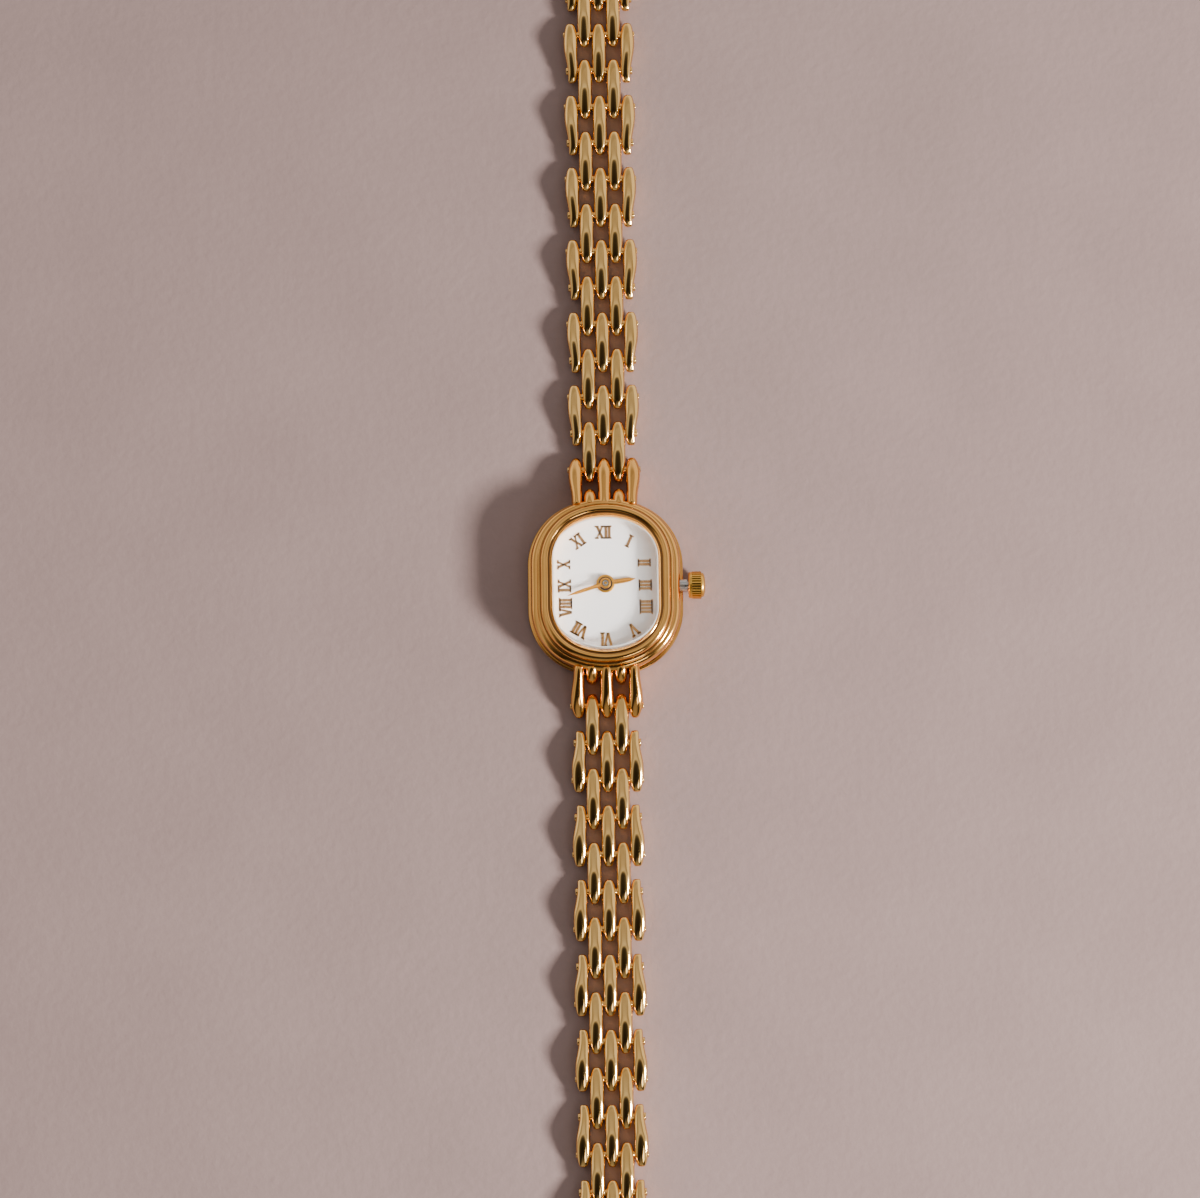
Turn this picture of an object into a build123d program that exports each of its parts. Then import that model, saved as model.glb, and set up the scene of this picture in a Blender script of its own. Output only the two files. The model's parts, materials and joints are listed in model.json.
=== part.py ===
from build123d import *
import os
from math import atan2, cos, degrees, pi, radians, sin, sqrt

# Ladies' oval watch on a rice-link bracelet, laid out flat with its clasp open.
# The origin is the centre of the face that the case back rests on. +Z is up from the
# table, +Y points to twelve o'clock and +X to three o'clock. Lengths are millimetres.

os.makedirs("parts", exist_ok=True)

# Case ring: a circle cut off by two straight sides, with rounded corners; its round
# ends reach a little farther from the middle than its straight sides. The corners'
# radius is a share of half the width.
ring_half_width = 9.6
ring_end_rise = 1.65
ring_corner_share = 0.85
ring_bottom = 0.4
ring_top = 3.7
ring_lip_height = 0.8
ring_lip_width = 0.18
ring_edge_radius = 0.7
cavity_half_width = 7.7
cavity_radius = 8.95
cavity_corner = 3.0

# Bezel and crystal
bezel_margin = 1.2
bezel_height = 1.6
bezel_edge_radius = 0.35
bezel_groove_start = 1.0
bezel_groove_width = 0.42
bezel_groove_depth = 0.4
bezel_lift = 0.1
crystal_half_width = 6.4
crystal_radius = 8.02
crystal_corner = 4.2
crystal_bottom = 4.85
crystal_thickness = 1.35
crystal_bevel = 0.5
crystal_gasket_width = 0.13
crystal_ledge = 0.2

# Case back and its gasket
back_margin = 1.0
back_thickness = 0.7
back_rim_width = 0.75
back_gasket_width = 0.35
back_clearance = 0.04

# Dial, numerals and hands; angles are clockwise from twelve o'clock
dial_thickness = 0.35
dial_clearance = 0.1
numeral_height = 1.68
numeral_thickness = 0.07
numeral_stroke = 0.17
numeral_hairline = 0.08
numeral_serif = 0.1
numeral_pitch = 0.36
hour_hand_length = 3.7
hour_hand_width = 0.42
hour_hand_hub_radius = 1.12
hour_hand_angle = 81
minute_hand_length = 4.9
minute_hand_width = 0.34
minute_hand_hub_radius = 0.76
minute_hand_angle = 252
hand_thickness = 0.12
hour_hand_gap = 0.25
minute_hand_gap = 0.22
pinion_stand = 0.12
hand_tip_width = 0.08
hand_shoulder_share = 0.7

# Movement
movement_thickness = 2.3
movement_clearance = 0.05
plate_floor_thickness = 1.0
plate_rim_width = 0.6
motion_depth = 0.53
wheel_thickness = 0.2
wheel_gap = 0.05
bridge_thickness = 0.3
motion_module = 0.09
hour_train_teeth = (10, 40)
minute_train_teeth = (12, 36)
setting_wheel_teeth = 24
setting_wheel_place = 2.1
recess_margin = 0.1
arbor_radius = 0.18
cannon_radius = 0.33
hour_pipe_radius = 0.55
post_radius = 0.2
running_clearance = 0.03
train_module = 0.06
centre_wheel_teeth = 64
train_pinion_teeth = 8
third_wheel_teeth = 60
third_wheel_angle = -90
rotor_angle = 200
pivot_radius = 0.12
rotor_radius = 0.6
rotor_air_gap = 0.15
stator_thickness = 0.35
stator_arm_width = 0.6
stator_eye_radius = 1.2
coil_radius = 0.45
coil_place = (0.4, -6.6)
coil_height = 1.75
coil_core_length = 7.0
coil_length = 3.8
coil_core_width = 0.5
coil_core_thickness = 0.15
battery_radius = 2.9
battery_height = 1.2
battery_place = 5.0
battery_edge_radius = 0.05
board_thickness = 0.3
board_length = 6.4
board_width = 2.2
board_place = -5.6
quartz_radius = 0.45
quartz_length = 3.2
screw_head_radius = 0.5
screw_head_height = 0.15
screw_radius = 0.25
screw_slot_width = 0.1
bridge_size = (6.4, 6.0)
bridge_place = (-0.3, -1.1)
pillar_radius = 0.45
pillar_places = ((2.4, 1.4), (-3.0, 1.3), (2.2, -3.6))
wheel_level = 0.4
wheel_lead = 0.3

# Crown, tube and stem; the crown stands pulled out to set the hands
crown_axis_height = 2.05
crown_radius = 1.7
crown_length = 2.1
crown_collar_length = 0.4
crown_cap_length = 0.55
crown_flutes = 22
crown_flute_depth = 0.12
crown_bore_depth = 1.1
crown_travel = 0.62
crown_gap = 0.04
tube_radius = 0.75
tube_bore_radius = 0.48
tube_stand = 0.5
stem_radius = 0.45
stem_square = 0.5
sliding_pinion_radius = 0.72
sliding_pinion_length = 1.0
sliding_pinion_teeth = 12

# Bracelet
row_pitch = 4.62
rows_per_half = 14
lower_turn = 180
first_pin_reach = 3.55
link_pitch = 1.8
link_width = 1.74
link_height = 2.35
link_end = 1.59
link_tip_width = 0.7
link_tip_top = 1.2
link_tip_bottom = 0.5
link_tip_cut = 0.55
link_crown_drop = 0.9
link_base_height = 1.0
link_base_end = 1.4
link_base_corner = 0.45
link_widest_share = 0.56
outer_link_waist = 0.42
outer_link_bulge = 0.86
outer_link_blunt = 0.5
outer_link_waist_share = 0.03
outer_link_bulge_share = 0.74
outer_link_tip_shift = 0.14
far_knuckle_reach = 0.68
knuckle_radius = 0.75
pin_radius = 0.4
pin_height = 1.0
pin_stand = 0.08
pin_dome = 0.06

# Lug fingers, part of the case
finger_root_depth = 1.95
finger_root_height = 3.65
finger_root_base = 0.65
finger_shoulder_depth = 0.65
short_finger_reach = 1.0
short_finger_width = 1.5
short_finger_tip_height = 2.3
finger_base = 0.15
finger_bulge_share = 0.6

# Clasp, beyond the last rows
clasp_length = 11.0
clasp_width = 7.4
clasp_plate_thickness = 0.6
clasp_wall_height = 2.2
clasp_wall_thickness = 0.7
clasp_cover_thickness = 0.6
clasp_cover_gap = 0.1
clasp_neck_gap = 0.25
clasp_pin_radius = 0.3
clasp_pin_inset = 1.0
clasp_bar_radius = 0.4
clasp_bar_place_share = 0.35
clasp_eye_radius = 0.52
clasp_ear_thickness = 0.8
clasp_side_gap = 0.08
hook_length = 6.0
hook_width = 5.2
hook_lip_height = 1.9
hook_lip_thickness = 0.6

cut_overrun = 1.0

# A tooth's four corners as shares of the angle from tooth to tooth, and how far it
# reaches out of and into the pitch circle as shares of the module
tooth_side_shares = (-0.24, -0.1, 0.1, 0.24)
tooth_tip_share = 0.8
tooth_root_share = 1.1

# Places worked out from the sizes above
ring_radius = ring_half_width + ring_end_rise
first_pin = ring_radius + first_pin_reach
finger_root = ring_radius - finger_root_depth
finger_shoulder = ring_radius - finger_shoulder_depth
short_finger_end = ring_radius + short_finger_reach
ring_size = (ring_half_width, ring_radius, ring_corner_share * ring_half_width)
bezel_half_width = ring_half_width - bezel_margin
bezel_size = (
    bezel_half_width,
    ring_radius - bezel_margin + crystal_ledge,
    ring_corner_share * bezel_half_width,
)
cavity_size = (cavity_half_width, cavity_radius, cavity_corner)
crystal_size = (crystal_half_width, crystal_radius, crystal_corner)
bezel_top = ring_top + bezel_height
dial_bottom = ring_top - dial_thickness
movement_bottom = dial_bottom - movement_thickness - movement_clearance
plate_top = movement_bottom + movement_thickness
plate_floor = plate_top - plate_floor_thickness
motion_floor = plate_top - motion_depth
hour_hand_bottom = ring_top + hour_hand_gap
hour_hand_top = hour_hand_bottom + hand_thickness
minute_hand_bottom = hour_hand_top + minute_hand_gap
minute_hand_top = minute_hand_bottom + hand_thickness
pinion_top = minute_hand_top + pinion_stand
minute_wheel_bottom = motion_floor + wheel_gap
hour_wheel_bottom = minute_wheel_bottom + wheel_thickness + wheel_gap
hour_wheel_top = hour_wheel_bottom + wheel_thickness
crown_start = ring_half_width + crown_gap + crown_travel
link_length = row_pitch + 2 * link_end
crown_plane = Plane(origin=(0, 0, crown_axis_height), x_dir=(0, 1, 0), z_dir=(1, 0, 0))


def inset(size, distance):
    """Half width, radius and corner of an oval drawn in by a distance."""
    half_width, radius, corner = size
    return half_width - distance, radius - distance, corner - distance


def oval(size, height):
    """The case's outline: a circle between two straight sides, corners rounded."""
    half_width, radius, corner = size
    with BuildSketch(Plane.XY.offset(height)) as outline:
        Circle(radius)
        Rectangle(2 * half_width, 2 * radius, mode=Mode.INTERSECT)
        fillet(outline.vertices(), corner)
    return outline.sketch


def level(height, place=(0, 0), turn=0):
    """Horizontal plane at a height, over a place, turned by an angle in degrees."""
    return Plane((place[0], place[1], height)).rotated((0, 0, turn))


def gear_radii(teeth, module):
    """Tip and root radius of a wheel from its number of teeth and their module."""
    pitch_radius = teeth * module / 2
    return pitch_radius + tooth_tip_share * module, pitch_radius - tooth_root_share * module


def gear(teeth, tip_radius, root_radius, plane):
    """Sketch of a wheel whose teeth taper from root to tip, one tooth towards +X."""
    points = []
    for tooth in range(teeth):
        middle = 2 * pi * tooth / teeth
        for share, radius in zip(tooth_side_shares, (root_radius, tip_radius, tip_radius, root_radius)):
            angle = middle + share * 2 * pi / teeth
            points.append((radius * cos(angle), radius * sin(angle)))
    with BuildSketch(plane) as outline:
        with BuildLine():
            Polyline(*points, close=True)
        make_face()
    return outline.sketch


def save(piece, name):
    """Name a finished piece and write its file."""
    piece.part.label = name
    export_step(piece.part, f"parts/{name}.step")
    return piece.part


# Lug fingers: long ones carry the pin, short ones fill the space behind the first links
def finger_side(end, tip_top, base, crest):
    """Side view of a finger that slopes down from the case to its tip, at YZ."""
    tip_back = end - link_tip_cut
    with BuildSketch(Plane.YZ) as side:
        with BuildLine():
            Line((finger_root, finger_root_base), (finger_root, finger_root_height))
            Line((finger_root, finger_root_height), (finger_shoulder, finger_root_height))
            ThreePointArc((finger_shoulder, finger_root_height), crest, (end, tip_top))
            Line((end, tip_top), (end, link_tip_bottom))
            Line((end, link_tip_bottom), (tip_back, base))
            Line((tip_back, base), (finger_root, finger_root_base))
        make_face()
    return side.sketch


def outer_outline(near, far, waist, bulge):
    """Plan of an outer link or finger: blunt near end, waist, bulge, narrow far tip."""
    half_width = link_width / 2
    tip_half = link_tip_width / 2
    waist_point = (outer_link_waist, waist)
    bulge_point = (outer_link_bulge, bulge)
    between = ((outer_link_waist + outer_link_bulge) / 2, (waist + bulge) / 2)
    inner_tip = (-outer_link_tip_shift - tip_half, far)
    outer_tip = (-outer_link_tip_shift + tip_half, far)
    with BuildSketch() as plan:
        with BuildLine():
            Line((-half_width, near), (outer_link_blunt, near))
            Line((outer_link_blunt, near), waist_point)
            TangentArc(waist_point, between, tangent=(0, 1))
            TangentArc(bulge_point, between, tangent=(0, -1))
            TangentArc(bulge_point, outer_tip, tangent=(0, 1))
            Line(outer_tip, inner_tip)
            TangentArc((-half_width, bulge), inner_tip, tangent=(0, 1))
            Line((-half_width, bulge), (-half_width, near))
        make_face()
    return plan.sketch


def leaf_outline(near, far, widest):
    """Plan of a middle link or finger: a leaf with blunt tips."""
    half_width = link_width / 2
    tip_half = link_tip_width / 2
    with BuildSketch() as plan:
        with BuildLine():
            TangentArc((half_width, widest), (tip_half, near), tangent=(0, -1))
            TangentArc((half_width, widest), (tip_half, far), tangent=(0, 1))
            Line((tip_half, far), (-tip_half, far))
            TangentArc((-half_width, widest), (-tip_half, far), tangent=(0, 1))
            TangentArc((-half_width, widest), (-tip_half, near), tangent=(0, -1))
            Line((-tip_half, near), (tip_half, near))
        make_face()
    return plan.sketch


finger_end = first_pin + link_end
finger_bulge = finger_root + finger_bulge_share * (finger_end - finger_root)
long_finger_crest = ((finger_shoulder + finger_end) / 2, link_height + link_tip_bottom)
short_finger_crest = (
    (finger_shoulder + short_finger_end) / 2,
    (finger_root_height + short_finger_tip_height) / 2 + finger_base,
)


def across(along, height=pin_height):
    """Place on the bracelet's centre line with its axis turned along X."""
    return Location((0, along, height), (0, 90, 0))


with BuildPart() as middle_finger:
    extrude(leaf_outline(finger_root, finger_end, finger_bulge), amount=ring_top)
    extrude(
        finger_side(finger_end, link_tip_top, finger_base, long_finger_crest),
        amount=link_width,
        both=True,
        mode=Mode.INTERSECT,
    )
    with Locations(across(first_pin)):
        Cylinder(knuckle_radius, link_width)
        Cylinder(pin_radius, link_width, mode=Mode.SUBTRACT)

with BuildPart() as outer_finger:
    extrude(outer_outline(finger_root, finger_end, finger_shoulder, finger_bulge), amount=ring_top)
    extrude(
        finger_side(finger_end, link_tip_top, finger_base, long_finger_crest),
        amount=link_width,
        both=True,
        mode=Mode.INTERSECT,
    )
    with Locations(across(first_pin)):
        Cylinder(pin_radius, 2 * link_width, mode=Mode.SUBTRACT)

with BuildPart() as short_finger:
    extrude(
        finger_side(short_finger_end, short_finger_tip_height, finger_base, short_finger_crest),
        amount=short_finger_width / 2,
        both=True,
    )

# Case middle: ring with a lower lip, cavity and the lug fingers, one casting
with BuildPart() as case_middle:
    extrude(oval(ring_size, ring_bottom), amount=ring_lip_height)
    extrude(oval(inset(ring_size, ring_lip_width), ring_bottom), amount=ring_top - ring_bottom)
    fillet(case_middle.faces().sort_by(Axis.Z)[-1].edges(), ring_edge_radius)
    for turn in (0, 180):
        with Locations(Location((0, 0, 0), (0, 0, turn))):
            add(middle_finger.part)
        for side in (-1, 1):
            with Locations(Location((side * link_pitch, 0, 0), (0, 0, turn))):
                add(short_finger.part)
        with Locations(Location((2 * link_pitch * cos(radians(turn)), 0, 0), (0, 0, turn))):
            add(outer_finger.part)
        with Locations(Location((-2 * link_pitch * cos(radians(turn)), 0, 0), (0, 0, turn))):
            add(mirror(outer_finger.part, about=Plane.YZ, mode=Mode.PRIVATE))
    extrude(oval(cavity_size, ring_bottom - cut_overrun), amount=ring_top + cut_overrun, mode=Mode.SUBTRACT)
    extrude(
        oval(inset(ring_size, back_margin - back_clearance), ring_bottom - cut_overrun),
        amount=back_thickness - ring_bottom + cut_overrun + back_clearance,
        mode=Mode.SUBTRACT,
    )
    with Locations(Location((ring_half_width, 0, crown_axis_height), (0, 90, 0))):
        Cylinder(tube_radius, 2 * (ring_half_width - cavity_half_width) + cut_overrun, mode=Mode.SUBTRACT)
save(case_middle, "case_middle")

# Two pins hold the first links between the long fingers
lug_pin_half_length = 2 * link_pitch + outer_link_bulge + pin_stand
with BuildPart() as lug_pins:
    for along in (-first_pin, first_pin):
        with Locations(across(along)):
            Cylinder(pin_radius, 2 * lug_pin_half_length)
    fillet(lug_pins.edges().filter_by(GeomType.CIRCLE), pin_dome)
save(lug_pins, "lug_pins")

# Case back: plate with a raised rim that the movement rests on
back_size = inset(ring_size, back_margin)
back_rim_size = inset(cavity_size, back_gasket_width)
with BuildPart() as case_back:
    extrude(oval(back_size, 0), amount=back_thickness)
    extrude(oval(back_rim_size, back_thickness), amount=movement_bottom - back_thickness)
    extrude(
        oval(inset(back_rim_size, back_rim_width), back_thickness),
        amount=movement_bottom - back_thickness,
        mode=Mode.SUBTRACT,
    )
save(case_back, "case_back")

# Sealing ring between the case back's rim and the cavity wall
with BuildPart() as case_back_gasket:
    extrude(oval(cavity_size, back_thickness), amount=movement_bottom - back_thickness)
    extrude(oval(back_rim_size, back_thickness), amount=movement_bottom - back_thickness, mode=Mode.SUBTRACT)
save(case_back_gasket, "case_back_gasket")

# Bezel: an outer ridge, a groove and an inner ring that holds the crystal
crystal_seat_size = inset(crystal_size, -crystal_gasket_width)
bezel_inner_size = inset(bezel_size, bezel_groove_start + bezel_groove_width)
with BuildPart() as bezel:
    extrude(oval(bezel_size, ring_top), amount=bezel_height)
    fillet(bezel.faces().sort_by(Axis.Z)[-1].edges(), bezel_edge_radius)
    extrude(
        oval(inset(bezel_size, bezel_groove_start), bezel_top - bezel_groove_depth),
        amount=bezel_groove_depth,
        mode=Mode.SUBTRACT,
    )
    extrude(oval(bezel_inner_size, ring_top), amount=bezel_height + bezel_lift)
    extrude(
        oval(crystal_seat_size, crystal_bottom),
        amount=bezel_height + cut_overrun,
        mode=Mode.SUBTRACT,
    )
    extrude(
        oval(inset(crystal_size, crystal_ledge), ring_top),
        amount=bezel_height + cut_overrun,
        mode=Mode.SUBTRACT,
    )
save(bezel, "bezel")

# Crystal with a bevelled rim, and the thin ring that seals it in the bezel
with BuildPart() as crystal:
    extrude(oval(crystal_size, crystal_bottom), amount=crystal_thickness)
    chamfer(crystal.faces().sort_by(Axis.Z)[-1].edges(), crystal_bevel / 2, crystal_bevel)
save(crystal, "crystal")

with BuildPart() as crystal_gasket:
    extrude(oval(crystal_seat_size, crystal_bottom), amount=bezel_top - crystal_bottom)
    extrude(oval(crystal_size, crystal_bottom), amount=bezel_top - crystal_bottom, mode=Mode.SUBTRACT)
save(crystal_gasket, "crystal_gasket")

# Dial plate with a hole for the hour wheel's pipe
with BuildPart() as dial:
    extrude(oval(inset(cavity_size, dial_clearance), dial_bottom), amount=dial_thickness)
    Cylinder(hour_pipe_radius + dial_clearance, 2 * (ring_top + cut_overrun), mode=Mode.SUBTRACT)
save(dial, "dial")

# Where each numeral stands as shares of the crystal's half width and radius, and its turn
numeral_place_shares = {
    "XII": (0.0, 0.82, 0),
    "I": (0.5, 0.67, 25),
    "II": (0.79, 0.345, 90),
    "III": (0.8, -0.02, 90),
    "IIII": (0.8, -0.375, 90),
    "V": (0.55, -0.735, 150),
    "VI": (0.03, -0.875, 180),
    "VII": (-0.49, -0.735, 210),
    "VIII": (-0.76, -0.33, 270),
    "IX": (-0.77, -0.04, 270),
    "X": (-0.785, 0.31, 270),
    "XI": (-0.5, 0.69, -35),
}
letter_width_shares = {"I": 1.0, "V": 2.2, "X": 2.1}


def stroke(start, end, width):
    """Straight stroke between two points, its ends cut level."""
    half = width / 2
    Polygon(
        (start[0] - half, start[1]),
        (start[0] + half, start[1]),
        (end[0] + half, end[1]),
        (end[0] - half, end[1]),
        align=None,
    )


def numeral(text, plane):
    """Sketch of one numeral: strokes that share a serif line along their tops."""
    widths = [letter_width_shares[letter] * numeral_pitch for letter in text]
    half_height = numeral_height / 2
    serif_level = (numeral_height - numeral_serif) / 2
    with BuildSketch(plane) as strokes:
        start = -sum(widths) / 2
        with Locations((0, serif_level)):
            Rectangle(sum(widths), numeral_serif)
        for letter, width in zip(text, widths):
            middle = start + width / 2
            left = start + numeral_stroke / 2
            right = start + width - numeral_stroke / 2
            if letter == "I":
                stroke((middle, half_height), (middle, -half_height), numeral_stroke)
            if letter == "V":
                stroke((left, half_height), (middle, -half_height), numeral_stroke)
                stroke((right, half_height), (middle, -half_height), numeral_hairline)
            if letter == "X":
                stroke((left, half_height), (right, -half_height), numeral_stroke)
                stroke((right, half_height), (left, -half_height), numeral_hairline)
            if letter != "V":
                with Locations((middle, -serif_level)):
                    Rectangle(width, numeral_serif)
            start += width
    return strokes.sketch


with BuildPart() as hour_numerals:
    for text, (across_share, along_share, turn) in numeral_place_shares.items():
        corner = (across_share * crystal_half_width, along_share * crystal_radius, ring_top)
        extrude(numeral(text, Plane(corner).rotated((0, 0, -turn))), amount=numeral_thickness)
save(hour_numerals, "hour_numerals")


def hand(length, width, hub_radius, bore_radius, clock_angle, height):
    """Flat hand: a disc with a blade that tapers to its tip."""
    with BuildPart() as blade:
        with BuildSketch(level(height, turn=-clock_angle)):
            Circle(hub_radius)
            Polygon(
                (-width / 2, 0),
                (width / 2, 0),
                (width / 2, length * hand_shoulder_share),
                (hand_tip_width / 2, length),
                (-hand_tip_width / 2, length),
                (-width / 2, length * hand_shoulder_share),
                align=None,
            )
            Circle(bore_radius, mode=Mode.SUBTRACT)
        extrude(amount=hand_thickness)
    return blade


hour_hand = hand(
    hour_hand_length,
    hour_hand_width,
    hour_hand_hub_radius,
    hour_pipe_radius,
    hour_hand_angle,
    hour_hand_bottom,
)
save(hour_hand, "hour_hand")
minute_hand = hand(
    minute_hand_length,
    minute_hand_width,
    minute_hand_hub_radius,
    cannon_radius,
    minute_hand_angle,
    minute_hand_bottom,
)
save(minute_hand, "minute_hand")

# Motion work under the dial: cannon pinion, minute wheel, hour wheel and setting wheel
cannon_teeth, minute_wheel_teeth = minute_train_teeth
minute_pinion_teeth, hour_wheel_teeth = hour_train_teeth
motion_distance = (cannon_teeth + minute_wheel_teeth) * motion_module / 2
hour_module = 2 * motion_distance / (minute_pinion_teeth + hour_wheel_teeth)
setting_distance = (setting_wheel_teeth + minute_wheel_teeth) * motion_module / 2
distance_squares = motion_distance**2 - setting_distance**2 + setting_wheel_place**2
minute_wheel_x = distance_squares / (2 * setting_wheel_place)
minute_wheel_y = -sqrt(motion_distance**2 - minute_wheel_x**2)
minute_place = (minute_wheel_x, minute_wheel_y)
setting_place = (setting_wheel_place, 0)
cannon_radii = gear_radii(cannon_teeth, motion_module)
minute_radii = gear_radii(minute_wheel_teeth, motion_module)
setting_radii = gear_radii(setting_wheel_teeth, motion_module)
minute_pinion_radii = gear_radii(minute_pinion_teeth, hour_module)
hour_radii = gear_radii(hour_wheel_teeth, hour_module)


def bore(radius, bottom, top, place=(0, 0)):
    """Cuts a round hole between two heights."""
    with BuildSketch(level(bottom, place)) as outline:
        Circle(radius)
    extrude(outline.sketch, amount=top - bottom, mode=Mode.SUBTRACT)


def boss(radius, bottom, top, place=(0, 0)):
    """Adds a round post, disc or pivot between two heights."""
    with BuildSketch(level(bottom, place)) as outline:
        Circle(radius)
    extrude(outline.sketch, amount=top - bottom)


with BuildPart() as cannon_pinion:
    extrude(gear(cannon_teeth, *cannon_radii, level(minute_wheel_bottom)), amount=wheel_thickness)
    boss(cannon_radius, minute_wheel_bottom, pinion_top)
    bore(arbor_radius + running_clearance, minute_wheel_bottom, pinion_top)
save(cannon_pinion, "cannon_pinion")

with BuildPart() as hour_wheel:
    extrude(gear(hour_wheel_teeth, *hour_radii, level(hour_wheel_bottom)), amount=wheel_thickness)
    boss(hour_pipe_radius, hour_wheel_bottom, hour_hand_top)
    bore(cannon_radius + running_clearance, hour_wheel_bottom, hour_hand_top)
save(hour_wheel, "hour_wheel")

def meshed_turn(teeth, driver_teeth, driver_turn, bearing):
    """Turn that brings a space of this wheel to its driver's tooth, seen along a bearing."""
    driver_phase = (bearing - driver_turn) * driver_teeth / 360
    return bearing + 180 - (0.5 - driver_phase) * 360 / teeth


minute_bearing = degrees(atan2(minute_wheel_y, minute_wheel_x))
minute_turn = meshed_turn(minute_wheel_teeth, cannon_teeth, 0, minute_bearing)
hour_turn_back = meshed_turn(minute_pinion_teeth, hour_wheel_teeth, 0, minute_bearing)
setting_bearing = degrees(atan2(-minute_wheel_y, setting_wheel_place - minute_wheel_x))
setting_turn = meshed_turn(setting_wheel_teeth, minute_wheel_teeth, minute_turn, setting_bearing)
wheel_hole = post_radius + running_clearance

with BuildPart() as minute_wheel:
    extrude(
        gear(minute_wheel_teeth, *minute_radii, level(minute_wheel_bottom, minute_place, minute_turn)),
        amount=wheel_thickness,
    )
    extrude(
        gear(
            minute_pinion_teeth,
            *minute_pinion_radii,
            level(minute_wheel_bottom, minute_place, hour_turn_back),
        ),
        amount=hour_wheel_top - minute_wheel_bottom,
    )
    bore(wheel_hole, minute_wheel_bottom, hour_wheel_top, minute_place)
save(minute_wheel, "minute_wheel")

with BuildPart() as setting_wheel:
    extrude(
        gear(setting_wheel_teeth, *setting_radii, level(minute_wheel_bottom, setting_place, setting_turn)),
        amount=wheel_thickness,
    )
    bore(wheel_hole, minute_wheel_bottom, minute_wheel_bottom + wheel_thickness, setting_place)
save(setting_wheel, "setting_wheel")

# Going train under the main plate: rotor, third wheel and centre wheel
third_distance = (centre_wheel_teeth + train_pinion_teeth) * train_module / 2
rotor_distance = (third_wheel_teeth + train_pinion_teeth) * train_module / 2
third_place = (
    third_distance * cos(radians(third_wheel_angle)),
    third_distance * sin(radians(third_wheel_angle)),
)
rotor_place = (
    third_place[0] + rotor_distance * cos(radians(rotor_angle)),
    third_place[1] + rotor_distance * sin(radians(rotor_angle)),
)
centre_level = movement_bottom + wheel_level
third_level = centre_level + wheel_thickness + 3 * wheel_gap
pivot_top = plate_floor + bridge_thickness
train_pinion_radii = gear_radii(train_pinion_teeth, train_module)
centre_radii = gear_radii(centre_wheel_teeth, train_module)
third_radii = gear_radii(third_wheel_teeth, train_module)
third_pinion_turn = meshed_turn(train_pinion_teeth, centre_wheel_teeth, 0, third_wheel_angle)
rotor_turn = meshed_turn(train_pinion_teeth, third_wheel_teeth, 0, rotor_angle)

with BuildPart() as centre_wheel:
    extrude(gear(centre_wheel_teeth, *centre_radii, level(centre_level)), amount=wheel_thickness)
    boss(arbor_radius, movement_bottom, minute_hand_top)
save(centre_wheel, "centre_wheel")

with BuildPart() as third_wheel:
    extrude(gear(third_wheel_teeth, *third_radii, level(third_level, third_place)), amount=wheel_thickness)
    extrude(
        gear(
            train_pinion_teeth,
            *train_pinion_radii,
            level(centre_level - wheel_gap, third_place, third_pinion_turn),
        ),
        amount=third_level - centre_level + wheel_gap,
    )
    boss(pivot_radius, movement_bottom, pivot_top, third_place)
save(third_wheel, "third_wheel")

with BuildPart() as rotor:
    boss(rotor_radius, centre_level - wheel_gap, third_level - wheel_gap, rotor_place)
    extrude(
        gear(
            train_pinion_teeth,
            *train_pinion_radii,
            level(third_level - wheel_gap, rotor_place, rotor_turn),
        ),
        amount=wheel_thickness + 2 * wheel_gap,
    )
    boss(pivot_radius, movement_bottom, pivot_top, rotor_place)
save(rotor, "rotor")

# Stator: an eye round the rotor, two arms and the core that carries the coil
coil_x, coil_y = coil_place
core_end = (coil_core_length - stator_arm_width) / 2
stator_bottom = centre_level - wheel_gap
core_bottom = stator_bottom + stator_thickness
with BuildPart() as stator:
    with BuildSketch(Plane.XY.offset(stator_bottom)):
        with Locations(rotor_place):
            Circle(stator_eye_radius)
        for side in (-1, 1):
            foot = (coil_x + side * core_end, coil_y)
            reach = Vector(*foot) - Vector(*rotor_place)
            bearing = degrees(atan2(reach.Y, reach.X))
            with Locations(((foot[0] + rotor_place[0]) / 2, (foot[1] + rotor_place[1]) / 2)):
                SlotCenterToCenter(reach.length, stator_arm_width, rotation=bearing)
        with Locations(rotor_place):
            Circle(rotor_radius + rotor_air_gap, mode=Mode.SUBTRACT)
    extrude(amount=stator_thickness)
    with BuildSketch(Plane.XY.offset(core_bottom)):
        with Locations(coil_place):
            Rectangle(coil_core_length, coil_core_width)
    extrude(amount=coil_core_thickness)
save(stator, "stator")

with BuildPart() as coil:
    with Locations(Location((coil_x, coil_y, coil_height), (0, 90, 0))):
        Cylinder(coil_radius, coil_length)
    with BuildSketch(Plane.XY.offset(core_bottom - running_clearance)):
        with Locations(coil_place):
            Rectangle(coil_core_length, coil_core_width + 2 * running_clearance)
    extrude(amount=coil_core_thickness + 2 * running_clearance, mode=Mode.SUBTRACT)
save(coil, "coil")

battery_bottom = movement_bottom + wheel_gap
with BuildPart() as battery:
    boss(battery_radius, battery_bottom, battery_bottom + battery_height, (0, battery_place))
    fillet(battery.edges(), battery_edge_radius)
save(battery, "battery")

# Circuit board with the quartz can lying on it
board_top = movement_bottom + board_thickness
with BuildPart() as circuit_board:
    with BuildSketch(Plane.XY.offset(movement_bottom)):
        with Locations((board_place, 0)):
            Rectangle(board_width, board_length)
    extrude(amount=board_thickness)
    with Locations(Location((board_place, 0, board_top + quartz_radius), (90, 0, 0))):
        Cylinder(quartz_radius, quartz_length)
save(circuit_board, "circuit_board")

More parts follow.
